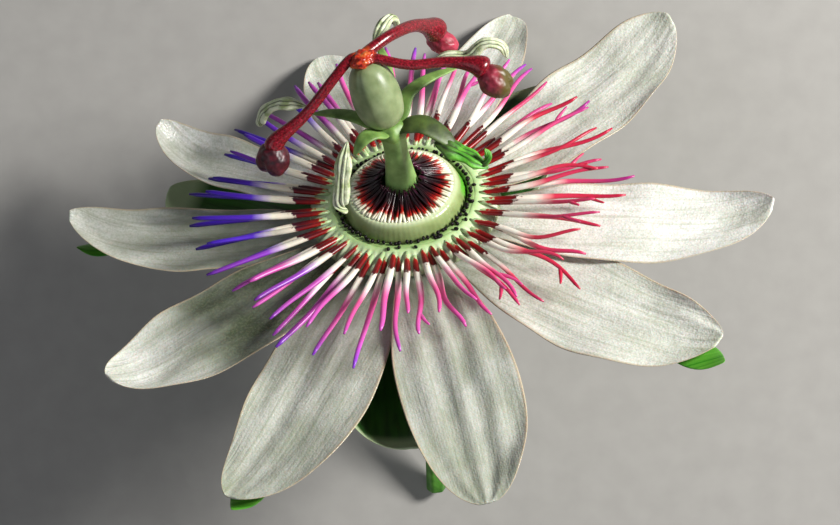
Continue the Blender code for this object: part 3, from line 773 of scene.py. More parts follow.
straight_corners = places(filament.data)
off_middle = (straight_corners[:, 0] / np.hypot(straight_corners[:, 0], straight_corners[:, 1])) ** 2
corona_ranks = {}
for rank, (height, usual, rise, half_step, start) in RANKS.items():
    copies, stages, warmths, shades = [], [], [], []
    for k in range(FILAMENTS):
        azimuth = (k + half_step) * 360 / FILAMENTS + dice.uniform(-1.6, 1.6)
        wild = 0.25 + 0.75 * (math.cos(math.radians(azimuth + 12)) + 1) / 2
        reach = usual * read_round(REACH_ROUND, azimuth) * dice.uniform(0.90, 1.03)
        wave, sway = dice.uniform(0.3, 1.2) * wild**1.7, dice.uniform(-2.0, 2.0) * wild
        lift = dice.uniform(-1.0, 1.0) * (0.4 + wild)
        phase, jitter = dice.uniform(0, math.tau), dice.uniform(-1.0, 1.0)
        warmth = read_round(WARMTH_ROUND, azimuth) + dice.uniform(-0.15, 0.15)
        route = filament_route(azimuth, height, reach, rise + lift, wave, sway, phase)
        lines = [route]
        if wild > 0.6 and dice.random() < 0.28:
            cut = dice.randint(12, 15)
            fork = route[cut:] - route[cut]
            turn = math.radians(dice.choice((-1, 1)) * dice.uniform(24, 40))
            lines.append(route[cut] + fork @ turned_by(turn) * dice.uniform(0.5, 0.8))
        for number, line in enumerate(lines):
            size = 0.62 if number else dice.uniform(0.88, 1.12)
            size = size * (1 - 0.34 * wild * straight_corners[:, 2:])
            copies.append(bend(straight_corners, line, FILAMENT_WIDE * size, FILAMENT_THICK * size))
            at = straight_corners[:, 2] * (len(line) - 1)
            stage = np.interp(at, np.arange(len(line)), banded(line, azimuth, jitter, start))
            stages.append(np.where(stage < 1.3, 0.62 + (stage - 0.62) * (1 + 0.65 * off_middle), stage))
            warmths.append(np.full(len(straight_corners), warmth))
            shades.append(np.full(len(straight_corners), dice.random()))
    marks = {"stage": stages, "warmth": warmths, "shade": shades, "edge": [off_middle] * len(copies)}
    corona_ranks[rank] = many(rank, filament, copies, marks)
    print(rank, "has", len(copies), "filaments and forks")
put_away(filament)

# %% [markdown]
# ## Corona colours
# The filaments are flesh with a faint gloss. The red band starts orange at the root and ends almost black,
# with a ragged edge. White follows, then the tip colour. A Color Ramp reads the stage of the bands, with a
# little noise added so that no two red edges match, and three tip colours are mixed by warmth. The edge from
# white to the tip colour is clean, so that ramp reads the stage without noise.

# %% The red and white bands
# smooth wet flesh: a soft gloss along each ray, and a little light through its thin edges
corona_flesh, tree, shader = new_material("corona_banded_flesh", roughness=0.33, subsurface_weight=0.08,
                                          subsurface_scale=0.5 * MM)
place = add(tree, "TexCoord")
stage = add(tree, "Attribute", attribute_name="stage")
warmth = add(tree, "Attribute", attribute_name="warmth")
shade = add(tree, "Attribute", attribute_name="shade")
ragged = add(tree, "TexNoise", {"Vector": place, "Scale": 2.2 / MM, "Detail": 2.0})
RAGGED = 0.11
shift = add(tree, "MapRange", {"Value": ragged, "From Min": 0.3, "From Max": 0.7, "To Min": -RAGGED,
                               "To Max": RAGGED}, clamp=False)
band = add(tree, "Math", {0: stage, 1: shift}, operation="ADD")
band = add(tree, "Math", {0: band, 1: 3.0}, operation="DIVIDE")
calm = add(tree, "Math", {0: stage, 1: 3.0}, operation="DIVIDE")
base = add(tree, "ValToRGB", {"Fac": band}, stops=[
    (0.0, "#b0ca94"), (0.03, "#c0cca0"), (0.055, "#a81410"), (0.12, "#7e060a"), (0.24, "#62040a"),
    (0.318, "#40040c"), (0.345, "#e6dcd0"), (0.62, "#f2f0e4")])
dark = add(tree, "ValToRGB", {"Fac": band}, stops=[
    (0.0, "#b0ca94"), (0.03, "#a8501c"), (0.055, "#7c0f0c"), (0.16, "#4a0610"), (0.24, "#240614"),
    (0.315, "#1c0420"), (0.345, "#d8cdbc"), (0.62, "#ece8d6")])
print("red bands ready")

# %% [markdown]
# The tips are violet at the left, pink in front and crimson at the right. Two smooth steps in warmth blend one
# into the next.

# %% The three tip colours
violet = add(tree, "ValToRGB", {"Fac": calm}, stops=[
    (0.66, "#b49ae4"), (0.72, "#5a2ccc"), (0.86, "#3c18a4"), (0.99, "#2a0c6c")])
pink = add(tree, "ValToRGB", {"Fac": calm}, stops=[
    (0.66, "#f4b0cc"), (0.74, "#e85ca0"), (0.88, "#d85cb8"), (0.98, "#8a3ccc")])
crimson = add(tree, "ValToRGB", {"Fac": calm}, stops=[
    (0.66, "#f0a0a0"), (0.72, "#d43450"), (0.95, "#b81c40")])
to_dark = add(tree, "MapRange", {"Value": warmth, "From Min": 0.45, "From Max": 0.1})
base = add(tree, "Mix", {0: to_dark, 6: base, 7: dark}, data_type="RGBA")
to_pink = add(tree, "MapRange", {"Value": warmth, "From Min": 0.15, "From Max": 0.45})
to_crimson = add(tree, "MapRange", {"Value": warmth, "From Min": 0.55, "From Max": 0.95})
tip = add(tree, "Mix", {0: to_pink, 6: violet, 7: pink}, data_type="RGBA")
tip = add(tree, "Mix", {0: to_crimson, 6: tip, 7: crimson}, data_type="RGBA")
print("tip colours ready")

# %% [markdown]
# The sides of each filament are a brighter red than its back, where light comes through the thin edge. Each
# filament is also a shade lighter or darker than the next.

# %% Join the colours and lay the ranks down
edge = add(tree, "Attribute", attribute_name="edge")
in_red = add(tree, "ValToRGB", {"Fac": band}, stops=[(0.03, 0.0), (0.06, 0.4), (0.30, 0.4), (0.34, 0.0)])
bright = add(tree, "Math", {0: in_red, 1: edge}, operation="MULTIPLY")
base = add(tree, "Mix", {0: bright, 6: base, 7: "#b4120e"}, data_type="RGBA")
at_tip = add(tree, "MapRange", {"Value": calm, "From Min": 0.57, "From Max": 0.72})
colour = add(tree, "Mix", {0: at_tip, 6: base, 7: tip}, data_type="RGBA")
dull = add(tree, "MapRange", {"Value": shade, "To Min": 0.86, "To Max": 1.0})
colour = add(tree, "HueSaturation", {"Value": dull, "Color": colour})
bumps = add(tree, "Bump", {"Height": ragged, "Strength": 0.35, "Distance": 0.06 * MM})
coat(shader, colour, bumps)
for rank, piece in corona_ranks.items():
    piece.data.materials.append(corona_flesh)
    lay(piece, rank + "_banded", rank)

# %% [markdown]
# ## Turned pieces
# The round parts are turned, as on a lathe. A circle is extruded, scaled and raised from point to point of an
# outline. A hollow piece is then bridged shut, and a solid one gets its two end caps. A screw modifier could
# do it too, but this way each ring stays at hand. Two numbers stay with each corner for colours and ribs.

# %% Turn an outline round the axis
def ring_by_ring(name, outline, sides, closed_ring=False):
    """Turn an outline of (radius, height) in mm: a circle, extruded and scaled from point to point."""
    bpy.ops.object.select_all(action="DESELECT")
    radius, height = outline[0]
    bpy.ops.mesh.primitive_circle_add(vertices=sides, radius=radius * MM, location=(0, 0, height * MM))
    piece = bpy.context.object
    piece.name = piece.data.name = name
    bpy.ops.object.transform_apply(location=True, rotation=False, scale=False)
    bpy.ops.object.mode_set(mode="EDIT")
    bpy.ops.mesh.select_all(action="SELECT")
    for (radius, height), (wider, higher) in zip(outline, outline[1:]):
        bpy.ops.mesh.extrude_edges_move()
        bpy.ops.transform.resize(value=(wider / radius, wider / radius, 1), center_override=(0, 0, 0))
        bpy.ops.transform.translate(value=(0, 0, (higher - height) * MM))
    if closed_ring:
        bpy.ops.mesh.select_all(action="DESELECT")
        bpy.ops.mesh.select_mode(type="EDGE")
        bpy.ops.mesh.select_non_manifold()
        bpy.ops.mesh.bridge_edge_loops()
        bpy.ops.mesh.select_mode(type="VERT")
    else:
        for end in (outline[0][1], outline[-1][1]):
            bpy.ops.mesh.select_all(action="DESELECT")
            bpy.ops.mesh.select_mode(type="EDGE")
            bpy.ops.mesh.select_non_manifold()
            bpy.ops.mesh.select_mode(type="VERT")
            shape = bmesh.from_edit_mesh(piece.data)
            for corner in shape.verts:
                corner.select = corner.select and abs(corner.co.z - end * MM) < 0.001 * MM
            shape.select_flush_mode()
            bmesh.update_edit_mesh(piece.data)
            bpy.ops.mesh.edge_face_add()
            bpy.ops.mesh.poke()
    bpy.ops.mesh.select_all(action="SELECT")
    bpy.ops.mesh.normals_make_consistent(inside=False)
    bpy.ops.object.mode_set(mode="OBJECT")
    return piece


def turned_marks(piece):
    """Keep each corner's radius and height in mm, and its azimuth, for colours and for ribs."""
    co = places(piece.data) / MM
    radius, azimuth = np.hypot(co[:, 0], co[:, 1]), np.arctan2(co[:, 1], co[:, 0])
    mark(piece.data, "radius", radius)
    mark(piece.data, "height", co[:, 2])
    return co, radius, azimuth


print("turning is ready")

# %% [markdown]
# ## Corona base
# The filaments grow out of a smooth pale-green rim that slopes down from the ring of dark dots. Each root
# swells into a low rib, which is pushed out of the turned piece in mesh code.

# %% Turn the corona base
corona_base = ring_by_ring("corona_base", [
    (8.93, -0.95), (8.95, 0.0), (9.12, 0.20), (9.6, 0.10), (10.2, -0.18), (10.9, -0.55), (11.6, -0.92),
    (12.2, -1.35), (12.5, -1.9), (11.6, -2.6), (10.7, -2.9), (9.3, -3.0), (9.0, -2.4)], 152, True)
smooth_over(corona_base)
co, radius, azimuth = turned_marks(corona_base)
ribs = np.cos(azimuth * 2 * FILAMENTS) * np.clip((radius - 9.6) / 1.4, 0, 1)
co[:, 2] += 0.16 * ribs + 0.05 * np.sin(azimuth * 17 + 2)
co[:, :2] *= (1 + 0.008 * ribs + 0.004 * np.sin(azimuth * 5))[:, None]
move_to(corona_base.data, co * MM)
print("corona base:", 2 * FILAMENTS, "ribs")

# %% [markdown]
# ## Colour of the corona base
# The rim is pale green flesh, greener at its inner edge and dull where it ends. A ramp reads the radius of
# each corner, shifted by a fine noise, so the rings of colour are never quite round.

# %% Finish the corona base
# moist flesh with a soft gloss, and a little light through it
base_flesh, tree, shader = new_material("corona_base_flesh", roughness=0.3, subsurface_weight=0.1,
                                        subsurface_scale=0.6 * MM)
radius = add(tree, "Attribute", attribute_name="radius")
specks = add(tree, "TexNoise", {"Vector": add(tree, "TexCoord"), "Scale": 1.3 / MM, "Detail": 3.0})
shifted = add(tree, "MapRange", {"Value": specks, "To Min": -0.5, "To Max": 0.5})
ring = add(tree, "Math", {0: radius, 1: shifted}, operation="ADD")
ring = add(tree, "MapRange", {"Value": ring, "From Min": 8.9, "From Max": 12.4})
tone = add(tree, "ValToRGB", {"Fac": ring}, stops=[
    (0.0, "#8fae6a"), (0.18, "#b0cc90"), (0.45, "#ccd9b6"), (0.75, "#c2ceae"), (1.0, "#8e9a74")])
bumps = add(tree, "Bump", {"Height": specks, "Strength": 0.3, "Distance": 0.06 * MM})
coat(shader, tone, bumps)
corona_base.data.materials.append(base_flesh)
lay(corona_base, "corona_upper_banded")

# %% [markdown]
# ## Ring of dots
# Between the corona and the cup stands a ring of very short filaments with almost black heads, the pali.
# One head is an icosphere, drawn out below into a bean. Copies are set round the ring with small slips, and
# a few stand astray on the rim. An array would set them too evenly.

# %% Model one head
bpy.ops.object.select_all(action="DESELECT")
bpy.ops.mesh.primitive_ico_sphere_add(subdivisions=2, radius=1, location=(0, 0, 0))
bean = bpy.context.object
bean.name = "bean"
bpy.ops.object.mode_set(mode="EDIT")
pick(bean, lambda co: co.z < 0)
bpy.ops.transform.resize(value=(0.7, 0.7, 1.6), center_override=(0, 0, 0))
bpy.ops.object.mode_set(mode="OBJECT")
mark(bean.data, "along", places(bean.data)[:, 2])
mark(bean.data, "round", places(bean.data)[:, 0])
bean_corners = places(bean.data)
print("one head:", len(bean_corners), "corners")

# %% [markdown]
# Every head slips a little along the ring, in and out, and turns, so the ring looks grown.

# %% Set the heads round the ring
PALI, ASTRAY, PALI_RADIUS = 76, 16, 8.55
dots = []
for k in range(PALI + ASTRAY):
    stray = k >= PALI
    azimuth = dice.uniform(-110, 50) if stray else k * 360 / PALI + dice.uniform(-1.4, 1.4)
    radius = PALI_RADIUS + (dice.uniform(0.3, 1.0) if stray else dice.uniform(-0.13, 0.13))
    sizes = 0.94 * np.array([dice.uniform(0.24, 0.38), dice.uniform(0.20, 0.30), dice.uniform(0.26, 0.36)])
    turn = math.radians(azimuth + dice.uniform(-40, 40))
    seat = 0.38 + dice.uniform(-0.06, 0.10) - (0.14 if stray else 0)
    dots.append((bean_corners * sizes) @ turned_by(turn) + round_to(radius, azimuth, seat))
pali_heads = many("pali_heads", bean, dots)
put_away(bean)
print("heads:", len(dots))

# %% [markdown]
# ## Colour of the dots
# The heads are so full of dark purple that they look black, and they are dull, so they read as dots. A soft
# noise lets a breath of maroon through.

# %% Finish the dots
# dry-looking skin: hardly any mirror of the lamps
dark_head, tree, shader = new_material("pali_dark_head", roughness=0.5, specular_ior_level=0.25)
specks = add(tree, "TexNoise", {"Vector": add(tree, "TexCoord"), "Scale": 1.8 / MM})
tone = add(tree, "ValToRGB", {"Fac": specks}, stops=[(0.4, "#050203"), (0.75, "#14070a")])
coat(shader, tone)
pali_heads.data.materials.append(dark_head)
lay(pali_heads, "pali_black", "pali_ring")

# %% [markdown]
# ## Foot ring
# The dots stand on a low green ring between the cup and the rim. It is turned, and has the finish of the rim.

# %% Turn the foot ring
pali_foot = ring_by_ring("pali_foot", [
    (8.10, -0.85), (8.12, -0.10), (8.3, 0.12), (8.75, 0.18), (9.25, 0.14), (9.35, -0.4),
    (9.1, -0.85)], 148, True)
smooth_over(pali_foot)
turned_marks(pali_foot)
pali_foot.data.materials.append(base_flesh)
lay(pali_foot, "pali_black")

# %% [markdown]
# ## The cup
# The cup closes the nectar chamber. Its wall bulges, leans in and ends in a pale glossy lip, and inside the
# lip the surface slopes up to the column. Turning it from a circle gives a clean wall. Fine ribs on the wall
# and finer ones on the lip are pushed out along the radius afterwards, since a texture would not catch light.

# %% Turn the cup
cup = ring_by_ring("operculum", [
    (6.9, -0.9), (7.7, -0.9), (7.92, -0.35), (7.88, 0.05), (7.74, 0.45), (7.6, 0.9), (7.44, 1.35),
    (7.24, 1.72), (7.0, 1.98), (6.72, 2.06), (6.35, 1.96), (5.9, 1.88), (5.2, 2.0), (4.2, 2.35),
    (3.3, 2.85), (2.7, 3.2), (2.45, 3.0), (3.2, 2.2), (5.4, 1.35), (6.5, 0.7), (6.9, 0.0)], 144, True)
smooth_over(cup)
CUP_RIBS = 72
co, radius, azimuth = turned_marks(cup)
wall = np.clip((radius - 6.9) / 0.8, 0, 1) * np.clip((co[:, 2] + 0.9) / 0.6, 0, 1)
lip = np.exp(-(((radius - 6.75) / 0.35) ** 2)) * (co[:, 2] > 1.5)
push = 0.012 * wall * np.cos(azimuth * CUP_RIBS) + 0.06 * wall * np.sin(azimuth * 5 + 1)
co[:, :2] *= (1 + push / np.maximum(radius, 1))[:, None]
co[:, 2] += 0.025 * lip * np.cos(azimuth * CUP_RIBS) + 0.07 * lip * np.sin(azimuth * 3 + 0.5)
move_to(cup.data, co * MM)
# painted light: a band on the lamp's side of the wall, below the lip, as if light shone through it
at_right = np.clip((np.cos(azimuth - math.radians(6)) - 0.92) / 0.05, 0, 1)
painted_glow = at_right * np.clip((1.5 - co[:, 2]) / 0.4, 0, 1)
mark(cup.data, "painted_glow", painted_glow * (radius > 7.1))
print("cup:", CUP_RIBS, "ribs")

# %% [markdown]
# ## Colour of the cup
# The wall is olive, the lip is the palest green, and the slope inside runs to maroon at the column. Two ramps
# do this: one reads the radius, and the other lays mottled olive over the low wall. A crescent of fresh green
# is painted light: it shows only at the right, on the lamp's side, as light shining through the thin wall; it
# was kept as a number on the corners.

# %% Finish the cup
# wet and waxy, so the lip catches a bright line of light
cup_flesh, tree, shader = new_material("operculum_glossy_flesh", roughness=0.24, subsurface_weight=0.1,
                                       subsurface_scale=0.6 * MM)
radius = add(tree, "Attribute", attribute_name="radius")
height = add(tree, "Attribute", attribute_name="height")
place = add(tree, "TexCoord")
mottle = add(tree, "TexNoise", {"Vector": place, "Scale": 0.5 / MM, "Detail": 4.0})
ring = add(tree, "MapRange", {"Value": radius, "From Min": 2.4, "From Max": 8.2})
across = add(tree, "ValToRGB", {"Fac": ring}, stops=[
    (0.0, "#14050a"), (0.36, "#2c0608"), (0.46, "#5c1008"), (0.54, "#b8a480"), (0.62, "#dde1c6"),
    (0.76, "#cdd8b2"), (0.84, "#98a872"), (0.93, "#7a8c52")])
olive_and_painted_shade = add(tree, "ValToRGB", {"Fac": mottle}, stops=[(0.35, "#717f4c"), (0.7, "#9aab74")])
low = add(tree, "MapRange", {"Value": height, "From Min": 1.7, "From Max": 1.1})
low = add(tree, "Math", {0: low, 1: 0.6}, operation="MULTIPLY")
tone = add(tree, "Mix", {0: low, 6: across, 7: olive_and_painted_shade}, data_type="RGBA")
# painted light: fresh green where the lamp shines through the wall
painted_glow = add(tree, "Attribute", attribute_name="painted_glow")
tone = add(tree, "Mix", {0: painted_glow, 6: tone, 7: "#5fae34"}, data_type="RGBA")
bumps = add(tree, "Bump", {"Height": mottle, "Strength": 0.3, "Distance": 0.10 * MM})
coat(shader, tone, bumps)
cup.data.materials.append(cup_flesh)
lay(cup, "operculum_green", "operculum")

# %% [markdown]
# ## The maroon fringe
# A fringe of fine threads lies on the slope inside the cup and leans in on the column. Each thread starts
# white at the lip, turns bright red and ends almost black. One thread is modelled and 84 copies are bent,
# with small slips so that they cross. Hair strands could do it, but they don't leave as a mesh.

# %% Comb the fringe
thread = straight_rod("thread", 6, (0.9, 1.0, 1.0, 0.95, 0.9, 0.85, 0.8, 0.7, 0.45))
thread_corners = places(thread.data)
THREADS, THREAD_HALF = 84, 0.185
copies = []
for k in range(THREADS):
    azimuth = k * 360 / THREADS + dice.uniform(-1.2, 1.2)
    slip, lift = dice.uniform(-8.0, 8.0), dice.uniform(-0.12, 0.30)
    inner = 2.55 + dice.uniform(-0.2, 0.3)
    line = [round_to(r, azimuth + slip * share, h + lift * share) for r, h, share in (
        (6.6, 2.02, 0), (5.9, 2.22, 0.2), (4.8, 2.55, 0.5), (3.6, 3.05, 0.8), (inner, 3.75, 1))]
    size = THREAD_HALF * dice.uniform(0.85, 1.15)
    copies.append(bend(thread_corners, smooth_route(line, 8), size, size))
lates = [np.full(len(thread_corners), dice.uniform(-0.14, 0.10)) for _ in copies]
fringe = many("operculum_fringe", thread, copies, {"late": lates})
put_away(thread)
print("fringe:", len(copies), "threads")

# %% [markdown]
# ## Colour of the fringe
# A ramp along each thread goes from white over red to near black. A noise and a number of its own shift each
# thread's colours, so the bands of the fringe are frayed.

# %% Finish the fringe
# moist threads, each with a fine line of light
maroon, tree, shader = new_material("fringe_maroon_flesh", roughness=0.28)
along = add(tree, "Attribute", attribute_name="along")
specks = add(tree, "TexNoise", {"Vector": add(tree, "TexCoord"), "Scale": 1.5 / MM, "Detail": 2.0})
shifted = add(tree, "MapRange", {"Value": specks, "To Min": -0.12, "To Max": 0.12})
late = add(tree, "Attribute", attribute_name="late")
place = add(tree, "Math", {0: along, 1: shifted}, operation="ADD")
place = add(tree, "Math", {0: place, 1: late}, operation="SUBTRACT")
tone = add(tree, "ValToRGB", {"Fac": place}, stops=[
    (0.02, "#e9ead2"), (0.24, "#e4dcc4"), (0.31, "#b83a24"), (0.37, "#9c100e"), (0.46, "#5c080e"),
    (0.58, "#240810"), (0.88, "#160610"), (1.0, "#4a1832")])
coat(shader, tone)
fringe.data.materials.append(maroon)
lay(fringe, "fringe_maroon", "operculum_fringe")

# %% [markdown]
# ## Green flesh
# The column, the stalks, the ovary and the stem are the same soft green flesh in several greens. Mottling at
# one size varies the green, and a finer grain breaks up the shine. One function makes each of them. A fresh
# stalk shines softly, the ovary has a dull bloom, and the cut core is dull, wet pith.

# %% The green flesh
def green_flesh(name, dark, light, scale_mm, gloss, bump_mm):
    """Smooth green plant flesh, mottled at a given size."""
    material, tree, shader = new_material(name, roughness=gloss, subsurface_weight=0.08,
                                          subsurface_scale=0.7 * MM)
    place = add(tree, "TexCoord")
    mottle = add(tree, "TexNoise", {"Vector": place, "Scale": 1 / (scale_mm * MM), "Detail": 4.0})
    fine = add(tree, "TexNoise", {"Vector": place, "Scale": 3.2 / MM, "Detail": 2.0})
    tone = add(tree, "ValToRGB", {"Fac": mottle}, stops=[(0.32, dark), (0.68, light)])
    bumps = add(tree, "Bump", {"Height": mottle, "Strength": 0.3, "Distance": bump_mm * MM})
    bumps = add(tree, "Bump", {"Height": fine, "Strength": 0.3, "Distance": 0.04 * MM, "Normal": bumps})
    coat(shader, tone, bumps)
    return material


column_green = green_flesh("column_green_flesh", "#668a48", "#97bd72", 2.2, 0.34, 0.15)
print("green flesh:", column_green.name)

# %% [markdown]
# ## Column
# The column lifts the stamens and the ovary clear of the flower. It is turned, then given five faint ribs,
# one for each stamen.

# %% Turn the column
def ribbed(piece, count, depth, phase=0.0):
    """Push a turned piece in and out round the axis, in mm."""
    co, radius, azimuth = turned_marks(piece)
    push = depth * np.cos(count * azimuth + phase) * np.clip(radius, 0, 1)
    co[:, :2] *= (1 + push / np.maximum(radius, 0.5))[:, None]
    move_to(piece.data, co * MM)


column = ring_by_ring("column", [
    (2.2, -0.9), (2.25, 1.0), (2.15, 2.6), (1.9, 4.2), (1.66, 6.4), (1.5, 8.6), (1.5, 10.2), (1.68, 11.3),
    (1.6, 11.75), (1.1, 11.85)], 40)
smooth_over(column)
ribbed(column, 5, 0.07)
column.data.materials.append(column_green)
lay(column, "column_green", "column")

# %% [markdown]
# ## Stamen collar
# On top of the column the five stalks leave from one low collar. It is turned and lightly ribbed, and duller
# than the column. One stalk lies in deep shade, and that shade is painted into it: it gets a darker, olive
# flesh of its own.

# %% Turn the collar
collar = ring_by_ring("stamen_collar", [
    (1.3, 10.7), (1.62, 11.1), (1.84, 11.6), (1.95, 12.1), (1.86, 12.5), (1.6, 12.85), (1.2, 13.25),
    (0.8, 13.4)], 40)
smooth_over(collar)
ribbed(collar, 5, 0.10, 1.2)
stamen_green = green_flesh("stamen_green_flesh", "#557534", "#86a95a", 1.6, 0.47, 0.12)
# painted shade: a darker, olive flesh for the first stalk, which lies in deep shade
stamen_painted_shade = green_flesh("stamen_painted_shade_flesh", "#2e3c1a", "#50642c", 1.6, 0.46, 0.12)
collar.data.materials.append(stamen_green)
lay(collar, "stamen_green")

# %% [markdown]
# ## Ovary
# The ovary is an egg with three shallow seams, where its three parts have grown together, and a dull bloom.
# It is turned upright and then stood on its own slanted line.

# %% Stand a piece on a line
OVARY_FOOT, OVARY_TOP, OVARY_RADIUS = Vector((-0.4, 0.0, 13.0)), Vector((-2.0, 2.7, 21.6)), 3.15
ovary_line = OVARY_TOP - OVARY_FOOT


def stand(piece, foot, along, size=1.0):
    """Stand an upright piece with its origin on this point in mm, its Z along this direction."""
    turn = Vector(along).to_track_quat("Z", "Y").to_matrix().to_4x4()
    piece.data.transform(Matrix.Translation(Vector(foot) * MM) @ turn @ Matrix.Scale(size, 4))


print("ovary is", round(ovary_line.length, 1), "mm tall")

# %% [markdown]
# The egg is the widest just below its middle. Its outline comes from a sine, flattened at the sides.

# %% Turn the ovary
egg_outline = []
for step in range(1, 16):
    share = step / 16
    bulge = math.sin(math.pi * share) ** 0.62 * (1 + 0.06 * math.cos(math.pi * share))
    egg_outline.append((OVARY_RADIUS * bulge, ovary_line.length * (1 - math.cos(math.pi * share)) / 2))
ovary = ring_by_ring("ovary", egg_outline, 36)
smooth_over(ovary)
co, radius, azimuth = turned_marks(ovary)
seams = np.exp(-((np.abs((azimuth * 3 / math.tau + 0.25) % 1 - 0.5) / 0.07) ** 2))
co[:, :2] *= (1 - 0.035 * seams - 0.008 * np.cos(azimuth * 6))[:, None]
move_to(ovary.data, co * MM)
mark(ovary.data, "seam", seams)
stand(ovary, OVARY_FOOT, ovary_line)
ovary.data.materials.append(green_flesh("ovary_sage_bloom", "#6f7f54", "#8c9a70", 1.8, 0.38, 0.05))
lay(ovary, "ovary_green", "ovary")

# %% [markdown]
# ## Stamens
# Five flat green stalks arch out of the collar. From the end of each hangs an anther by its middle, split
# lengthwise by grooves where the pollen sacs open, with its ends curled. Both are rods: the stalk's has
# one shallow groove above, the anther's has three above and a wide one below.

# %% Routes of the stamens
STAMENS = {
    "1": (((0.6, -0.2, 12.2), (2.2, -0.6, 13.0), (4.2, -1.2, 13.1), (6.2, -2.5, 11.9), (7.5, -3.8, 10.5)),
          ((5.0, -2.8, 11.4), (6.9, -3.8, 10.8), (8.9, -5.0, 9.9), (11.1, -6.4, 8.7))),
    "2": (((0.5, 0.4, 12.2), (1.6, 1.6, 13.1), (2.8, 3.6, 14.5), (6.0, 5.8, 14.5), (9.8, 7.1, 14.2)),
          ((6.3, 8.4, 14.6), (8.6, 8.2, 15.4), (11.0, 7.8, 15.0), (13.2, 7.9, 16.8),
           (15.6, 7.6, 16.0), (16.0, 7.0, 14.2))),
    "3": (((-0.6, 0.3, 12.2), (-2.2, 0.9, 12.7), (-4.2, 1.9, 13.6), (-6.9, 3.1, 13.8), (-9.6, 4.0, 13.5)),
          ((-10.0, 4.6, 14.3), (-12.2, 5.0, 15.0), (-14.6, 5.6, 14.5),
           (-16.2, 5.6, 12.8), (-16.4, 5.4, 11.5))),
    "4": (((-0.5, -0.5, 12.2), (-1.5, -1.3, 12.9), (-2.6, -2.0, 13.8), (-3.9, -3.0, 13.9), (-5.2, -4.0, 12.6)),
          ((-5.7, -2.2, 13.6), (-6.8, -4.2, 11.4), (-7.5, -5.5, 8.9),
           (-7.9, -6.3, 6.4), (-7.2, -6.0, 5.4))),
    "5": (((0.0, 0.6, 12.2), (0.2, 2.6, 13.0), (0.6, 5.6, 14.2), (0.6, 8.8, 15.8), (0.2, 11.0, 17.0)),
          ((-0.6, 9.8, 17.4), (0.4, 11.4, 18.2), (1.6, 13.2, 18.4),
           (2.5, 14.4, 17.9), (2.9, 14.6, 15.8), (2.8, 13.9, 14.9))),
}
# how broad each stalk and each anther is, as a share of the usual
BROAD = {"1": (1.75, 1.2), "2": (1.1, 0.9), "3": (1.1, 0.95), "4": (1.35, 0.95), "5": (1.0, 0.8)}
# a small upright lobe at the far end of the first anther
ANTHER_LOBE = ((9.9, -5.8, 9.0), (10.9, -6.0, 9.4), (11.3, -5.8, 10.4), (11.0, -5.6, 11.4))
STALK_WIDE, STALK_THICK, ANTHER_WIDE, ANTHER_THICK = 0.95, 0.42, 1.15, 0.66
print("stamens to bend:", len(STAMENS))

# %% [markdown]
# Grooves are pressed into the straight rods before they are bent, by drawing in the corners at a given angle.
# They stay in place along the whole bend.

# %% Model the stalk and the anther
def grooved(corners, grooves):
    """Press grooves into a rod: each is (where round it in degrees, half width in degrees, depth)."""
    angle = np.degrees(np.arctan2(corners[:, 1], corners[:, 0]))
    size = np.ones(len(corners))
    for where, half, depth in grooves:
        gap = (angle - where + 180) % 360 - 180
        size -= depth * np.exp(-((gap / half) ** 2))
    made = corners.copy()
    made[:, :2] *= size[:, None]
    return made


stalk = straight_rod("stalk", 16, (
    0.55, 0.62, 0.75, 0.88, 0.98, 1.0, 1.0, 1.0, 0.98, 0.94, 0.88, 0.8, 0.7, 0.58, 0.4, 0.15))
stalk_corners = grooved(places(stalk.data), [(90, 30, 0.3)])
pouch = straight_rod("pouch", 24, (
    0.12, 0.45, 0.72, 0.9, 1.0, 1.0, 0.96, 0.94, 0.96, 1.0, 1.0, 0.96, 0.86, 0.68, 0.4, 0.1))
pouch_corners = grooved(places(pouch.data), [(90, 11, 0.5), (42, 11, 0.34), (138, 11, 0.34), (-90, 24, 0.5)])
print("stalk and anther:", len(stalk_corners), "and", len(pouch_corners), "corners")

# %% [markdown]
# Ripe sacs swell unevenly and crinkle as they dry. Two noises do it, one long and one short.

# %% Swell the pollen sacs
SWELL, CRINKLE = 0.45, 0.16


def lumpy(corners, seed):
    """The pollen sacs swell unevenly along an anther."""
    made = corners.copy()
    swell = [noise.noise(Vector((5.5 * z, 0.9 * x, 0.9 * y + seed))) for x, y, z in corners]
    crinkle = [noise.noise(Vector((15 * z, 2.2 * x, 2.2 * y + seed))) for x, y, z in corners]
    made[:, :2] *= (1 + SWELL * np.array(swell) + CRINKLE * np.array(crinkle))[:, None]
    return made


print("sacs swell by up to", SWELL, "of their size")

# %% [markdown]
# ## Skin of the anthers
# An anther is cream with a green cast and a fine grain of pollen. Its grooves are dark slits, which a ramp
# draws from the place round the rod. The first anther is vivid green, and the half of it that hangs in the
# shade of its stalk gets painted shade in dark olive.
# Real pollen grains are 0.05 mm. Here they are drawn 0.26 mm wide, as coarse as they need to be to show.

# %% Finish for the anthers
# dusty and dull, so the lamps leave a broad soft light on it
anther_skin, tree, shader = new_material("anther_cream_skin", roughness=0.5, subsurface_weight=0.08,
                                         subsurface_scale=0.5 * MM)
around = add(tree, "Attribute", attribute_name="round")
green = add(tree, "Attribute", attribute_name="green")
grain = add(tree, "TexVoronoi", {"Vector": add(tree, "TexCoord"), "Scale": 3.8 / MM})
mottle = add(tree, "TexNoise", {"Vector": add(tree, "TexCoord"), "Scale": 0.9 / MM, "Detail": 3.0})
wander = add(tree, "MapRange", {"Value": mottle, "To Min": -0.05, "To Max": 0.05})
around = add(tree, "Math", {0: around, 1: wander}, operation="ADD")
cream = add(tree, "ValToRGB", {"Fac": mottle}, stops=[(0.35, "#a2b27c"), (0.6, "#dfe6c8")])
vivid = add(tree, "ValToRGB", {"Fac": mottle}, stops=[(0.35, "#3a8616"), (0.65, "#66b430")])
tone = add(tree, "Mix", {0: green, 6: cream, 7: vivid}, data_type="RGBA")
